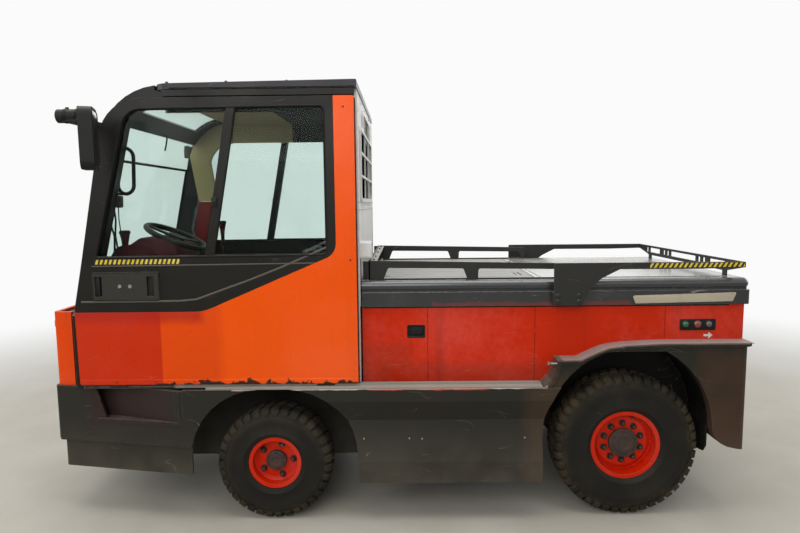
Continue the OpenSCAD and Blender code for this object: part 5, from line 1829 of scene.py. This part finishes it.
@dataclass
class RearBody(Assembly):
    """Red rear body: buttons, arrow, latch, rear lamps and the line under the band."""

    face: float = 545.0

    def build(self) -> None:
        """Builds the fittings of the rear body and dresses it."""
        self.bench.dress("rear_body", "body_red")
        self._buttons()
        self._latch()
        self._lamps()
        self._seams()

    def _buttons(self) -> None:
        """Adds the button box with its green, red and grey buttons, and the arrow under it."""
        box = Shape().prism(Axis.Y, rounded_box(-1460, -1295, 879, 931, 5, 4), self.face - 1, self.face + 5)
        for x in (-1426, -1374, -1318):
            box.lathe((x, self.face + 4, 908), (0, 1, 0), [(17, 0), (17, 3), (15, 4.5), (14, 4.5)], 28)
        self.bench.piece(box.mirrored(), "button_boxes", "trim_black", "body_red")
        for x, finish, r in ((-1426, "button_grey", 13), (-1374, "button_red", 16),
                             (-1318, "button_green", 13)):
            cap = Shape().lathe((x, self.face + 8, 908), (0, 1, 0),
                                [(r, 0), (r, 5), (r - 3, 7.5), (1, 8.5)], 28)
            self.bench.piece(cap.mirrored(), finish + "_caps", finish, "body_red", ease=0.0)
        arrow = [(-1408, 848), (-1430, 848), (-1430, 837), (-1450, 853.5), (-1430, 870), (-1430, 859),
                 (-1408, 859)]
        sign = Shape().prism(Axis.Y, arrow, self.face - 0.3, self.face + 0.5).mirrored()
        self.bench.piece(sign, "arrow_marks", "arrow_white", "body_red", ease=0.0)

    def _latch(self) -> None:
        """Adds the cup and the slam latch in the side recess."""
        cup = Shape()
        ring = rounded_box(-108, -23, 852, 914, 7, 4)
        hole = rounded_box(-101, -30, 859, 907, 5, 4)
        cup.frame(Axis.Y, ring, hole, self.face - 1, self.face + 1.6, self.face - 7.6)
        cup.prism(Axis.Y, hole, self.face - 8.5, self.face - 7)
        cup.box(-96, -52, self.face - 7.5, self.face - 2, 869, 899)
        self.bench.piece(cup.mirrored(), "cover_latches", "trim_black", "body_red", ease=0.6)

    def _lamps(self) -> None:
        """Adds the rear lamps and the frames round them."""
        x = -1601
        for name, finish, z0, z1 in (("tail", "lens_red", 881, 903), ("turn", "lens_amber", 904, 926),
                                     ("reverse", "lens_white", 927, 949)):
            lens = Shape().prism(Axis.X, rounded_box(384, 486, z0, z1, 3, 3), x - 7, x + 0.5).mirrored()
            self.bench.piece(lens, f"{name}_lamp_lenses", finish, "body_red", ease=1.6)
        rim = Shape()
        outer = rounded_box(378, 492, 875, 955, 6, 4)
        inner = rounded_box(383, 487, 880, 950, 4, 4)
        rim.frame(Axis.X, outer, inner, x - 5, x + 9, x - 5)
        self.bench.piece(rim.mirrored(), "rear_lamp_frames", "trim_black", "body_red")

    def _seams(self) -> None:
        """Adds the narrow black line under the deck band."""
        shape = Shape()
        shape.box(-1520, 180, self.face - 1, self.face + 0.8, 994, 1001).mirrored()
        self.bench.piece(shape, "cover_seal_line", "gasket", "body_red", ease=0.2)


@dataclass
class Deck(Assembly):
    """Load deck: hatch handles, blank plates, tape, bolts, edge joints and the plate across the front rail."""

    top: float = 1122.0
    band: float = 560.0
    rail_face: float = 605.0

    def build(self) -> None:
        """Builds the deck's fittings and dresses its panels."""
        self.bench.dress("deck_edge", "deck_grey")
        self.bench.dress("battery_lid", "lid_grey")
        self.bench.dress("front_rail", "rail_grey")
        self.bench.dress("rear_rail", "rail_grey")
        self._plates()
        self._handles()
        self._fixings()

    def _plates(self) -> None:
        """Adds the blank plates on the band and the tape on the rear rail."""
        outline = rounded([(-1080, 1009, 5), (-1528, 1016, 5), (-1545, 1058, 6), (-1067, 1046, 6)], 4)
        plate = Shape().prism(Axis.Y, outline, self.band - 0.5, self.band + 1.6)
        for x in (-1510, -1102):
            plate.lathe((x, self.band + 1.2, 1033), (0, 1, 0), [(3.0, 0), (3.0, 1.0), (2.0, 1.6)], 12)
        self.bench.piece(plate.mirrored(), "blank_band_plates", "blank_plate", "deck_grey", ease=0.3)
        tape = Shape()
        tape.prism(Axis.Y, [(-1124, 1179), (-1124, 1200), (-1551, 1200), (-1551, 1181)],
                   self.rail_face - 0.4, self.rail_face + 0.6)
        self.bench.piece(tape.mirrored(), "rail_tape", "rail_tape", "rail_grey", ease=0.0)

    def _handles(self) -> None:
        """Adds the flush bar handles, the ribs and the hinge screws of the hatch."""
        shape = Shape()
        for y in (-300, 230):
            shape.cylinder((-580, y + 6, self.top - 3), (-580, y + 124, self.top - 3), 3.2, 12)
            for dy in (10, 120):
                shape.box(-596, -565, y + dy - 4, y + dy + 4, self.top - 7, self.top - 1.4)
        for y in (300, 330, 364, -300, -330, -364):
            shape.lathe((86, y, self.top + 3.6), (0, 0, 1), [(4.5, 0), (4.5, 1.4), (3, 2.2)], 12)
        self.bench.piece(shape, "hatch_handles", "bright_steel", "lid_grey", Body.LID, ease=0.5)
        ribs = Shape()
        for k in range(9):
            y = -400 + 100 * k
            ribs.box(-540, 60, y - 1.2, y + 1.2, self.top - 0.4, self.top + 0.9)
        self.bench.piece(ribs, "hatch_ribs", "lid_grey", "lid_grey", Body.LID, ease=0.4)

    def _fixings(self) -> None:
        """Adds the rail bolts, the joints of the half-round edge and the plate across the front rail."""
        shape = Shape()
        for x in (-806, -712):
            for z in (1030, 1056):
                shape.bolt((x, self.rail_face - 0.2, z), (0, 1, 0), 13.0)
        self.bench.piece(shape.mirrored(), "rail_bolts", "rail_grey", "rail_grey", ease=0.4)
        joints = Shape()
        for x in (-560, -862, -900):
            joints.lathe((x, 528.5, 1096.5), (1, 0, 0), [(26.6, 0), (27.6, 0.8), (27.6, 4), (26.6, 5)], 32)
        self.bench.piece(joints.mirrored(), "edge_joints", "deck_grey", "deck_grey", ease=0.2)
        shelf = Shape().box(117, 148, -503, 503, 1205, 1210)
        self.bench.piece(shelf, "front_rail_flange", "flange_grey", "rail_grey", ease=1.2)
        ends = Shape().box(147, 181, 505, 513, 1124, 1211).mirrored()
        self.bench.piece(ends, "front_rail_ends", "rail_grey", "rail_grey", ease=1.2)
        bolts = Shape()
        for y in (-430, -250, 0, 250, 430):
            bolts.bolt((133, y, 1209.8), (0, 0, 1), 8.0)
        self.bench.piece(bolts, "flange_bolts", "dark_steel", "rail_grey", ease=0.2)


# Studio


@dataclass
class Studio:
    """Floor, lamps, world and the camera at the photograph's place."""

    lens: float = 26.8
    place: tuple[float, float, float] = (-0.018, 3.29, 1.48)
    right: tuple[float, float, float] = (-0.99992, -0.00803, -0.00989)
    up: tuple[float, float, float] = (-0.00899, -0.10548, 0.99438)
    ahead: tuple[float, float, float] = (0.00903, -0.99439, -0.10540)

    def build(self) -> None:
        """Sets up the camera, the lamps, the world and the floor."""
        self._camera()
        self._lamps()
        self._world()
        self._floor()
        bpy.context.scene.view_settings.view_transform = "Standard"

    def _camera(self) -> None:
        """Places the camera."""
        data = bpy.data.cameras.new("camera")
        data.lens = self.lens
        data.sensor_width = 36.0
        camera = bpy.data.objects.new("camera", data)
        rows = [(self.right[i], self.up[i], -self.ahead[i], self.place[i]) for i in range(3)]
        camera.matrix_world = Matrix(rows + [(0, 0, 0, 1)])
        bpy.context.scene.collection.objects.link(camera)
        bpy.context.scene.camera = camera

    @staticmethod
    def _lamps() -> None:
        """Hangs large soft lamps over and beside the tug."""
        table = (("overhead", (0.2, 0.6, 4.6), (0.0, 0.0, 0.6), 5.0, 3.2, 172.0),
                 ("near_side", (1.5, 5.2, 3.4), (0.0, 0.2, 0.9), 4.5, 3.0, 132.0),
                 ("front", (5.2, 1.2, 2.6), (0.6, 0.0, 0.9), 3.0, 2.6, 50.0),
                 ("far_side", (-1.0, -5.0, 3.4), (0.0, 0.0, 0.9), 4.5, 3.0, 42.0),
                 ("rear", (-5.2, -0.6, 2.6), (-0.6, 0.0, 0.9), 3.0, 2.6, 36.0))
        for name, place, target, wide, tall, power in table:
            data = bpy.data.lights.new(name, "AREA")
            data.shape = "RECTANGLE"
            data.size, data.size_y, data.energy = wide, tall, power
            lamp = bpy.data.objects.new(name, data)
            lamp.location = place
            lamp.rotation_euler = (Vector(target) - Vector(place)).to_track_quat("-Z", "Y").to_euler()
            bpy.context.scene.collection.objects.link(lamp)

    @staticmethod
    def _world() -> None:
        """Gives a white background to what looks at it and a dimmer sky to what it lights."""
        world = bpy.data.worlds.new("studio")
        bpy.context.scene.world = world
        world.use_nodes = True
        world.node_tree.nodes.clear()
        g = Graph(world.node_tree)
        rays = g.add("ShaderNodeLightPath").node.outputs
        seen = g.math("MAXIMUM", g.math("MAXIMUM", rays["Is Camera Ray"], rays["Is Glossy Ray"]),
                      rays["Is Transmission Ray"])
        dim = g.add("ShaderNodeBackground", {"Color": (1.0, 1.0, 1.0, 1.0), "Strength": 0.37})
        white = g.add("ShaderNodeBackground", {"Color": (0.96, 0.965, 0.96, 1.0), "Strength": 1.0})
        g.finish("ShaderNodeOutputWorld", g.add("ShaderNodeMixShader", {0: seen, 1: dim, 2: white}))

    @staticmethod
    def _floor() -> None:
        """Lays a pale floor that fades into the white background."""
        data = bpy.data.meshes.new("floor")
        reach = 30.0
        data.from_pydata([(-reach, -reach, 0), (reach, -reach, 0), (reach, reach, 0), (-reach, reach, 0)], [],
                         [(0, 1, 2, 3)])
        obj = bpy.data.objects.new("floor", data)
        bpy.context.scene.collection.objects.link(obj)
        material = bpy.data.materials.new("pale_floor")
        material.use_nodes = True
        material.node_tree.nodes.clear()
        g = Graph(material.node_tree)
        cloud = g.span(g.noise(1.6, 8.0, roughness=0.6), 0.3, 0.75)
        colour = g.mix(cloud, srgb("#aaa598"), srgb("#bab6ab"))
        shader = g.add("ShaderNodeBsdfPrincipled", {"Base Color": colour,
                                                    "Roughness": g.span(cloud, 0.0, 1.0, 0.5, 0.62)})
        away = g.add("ShaderNodeVectorMath", {0: g.coordinates()}, out="Value", operation="LENGTH")
        rays = g.add("ShaderNodeLightPath").node.outputs
        seen = g.math("MAXIMUM", rays["Is Camera Ray"], rays["Is Transmission Ray"])
        far = g.times(g.span(away, 2.6, 6.5), seen)
        glow = g.add("ShaderNodeEmission", {"Color": (0.96, 0.965, 0.96, 1.0), "Strength": 1.0})
        g.finish("ShaderNodeOutputMaterial", g.add("ShaderNodeMixShader", {0: far, 1: shader, 2: glow}))
        data.materials.append(material)


def main() -> None:
    """Builds every sub-assembly in order."""
    logging.basicConfig(level=logging.INFO, format="%(name)s: %(message)s")
    bench = Bench(Effects())
    for kind in (RunningGear, LowerBody, Doors, Cab, CabInside, Mirrors, Nose, RearBody, Deck):
        kind(bench).build()
        LOG.info("%s done", kind.__name__)
    Studio().build()
    LOG.info("%d pieces in all", bench.count)


if __name__ == "__main__":
    main()
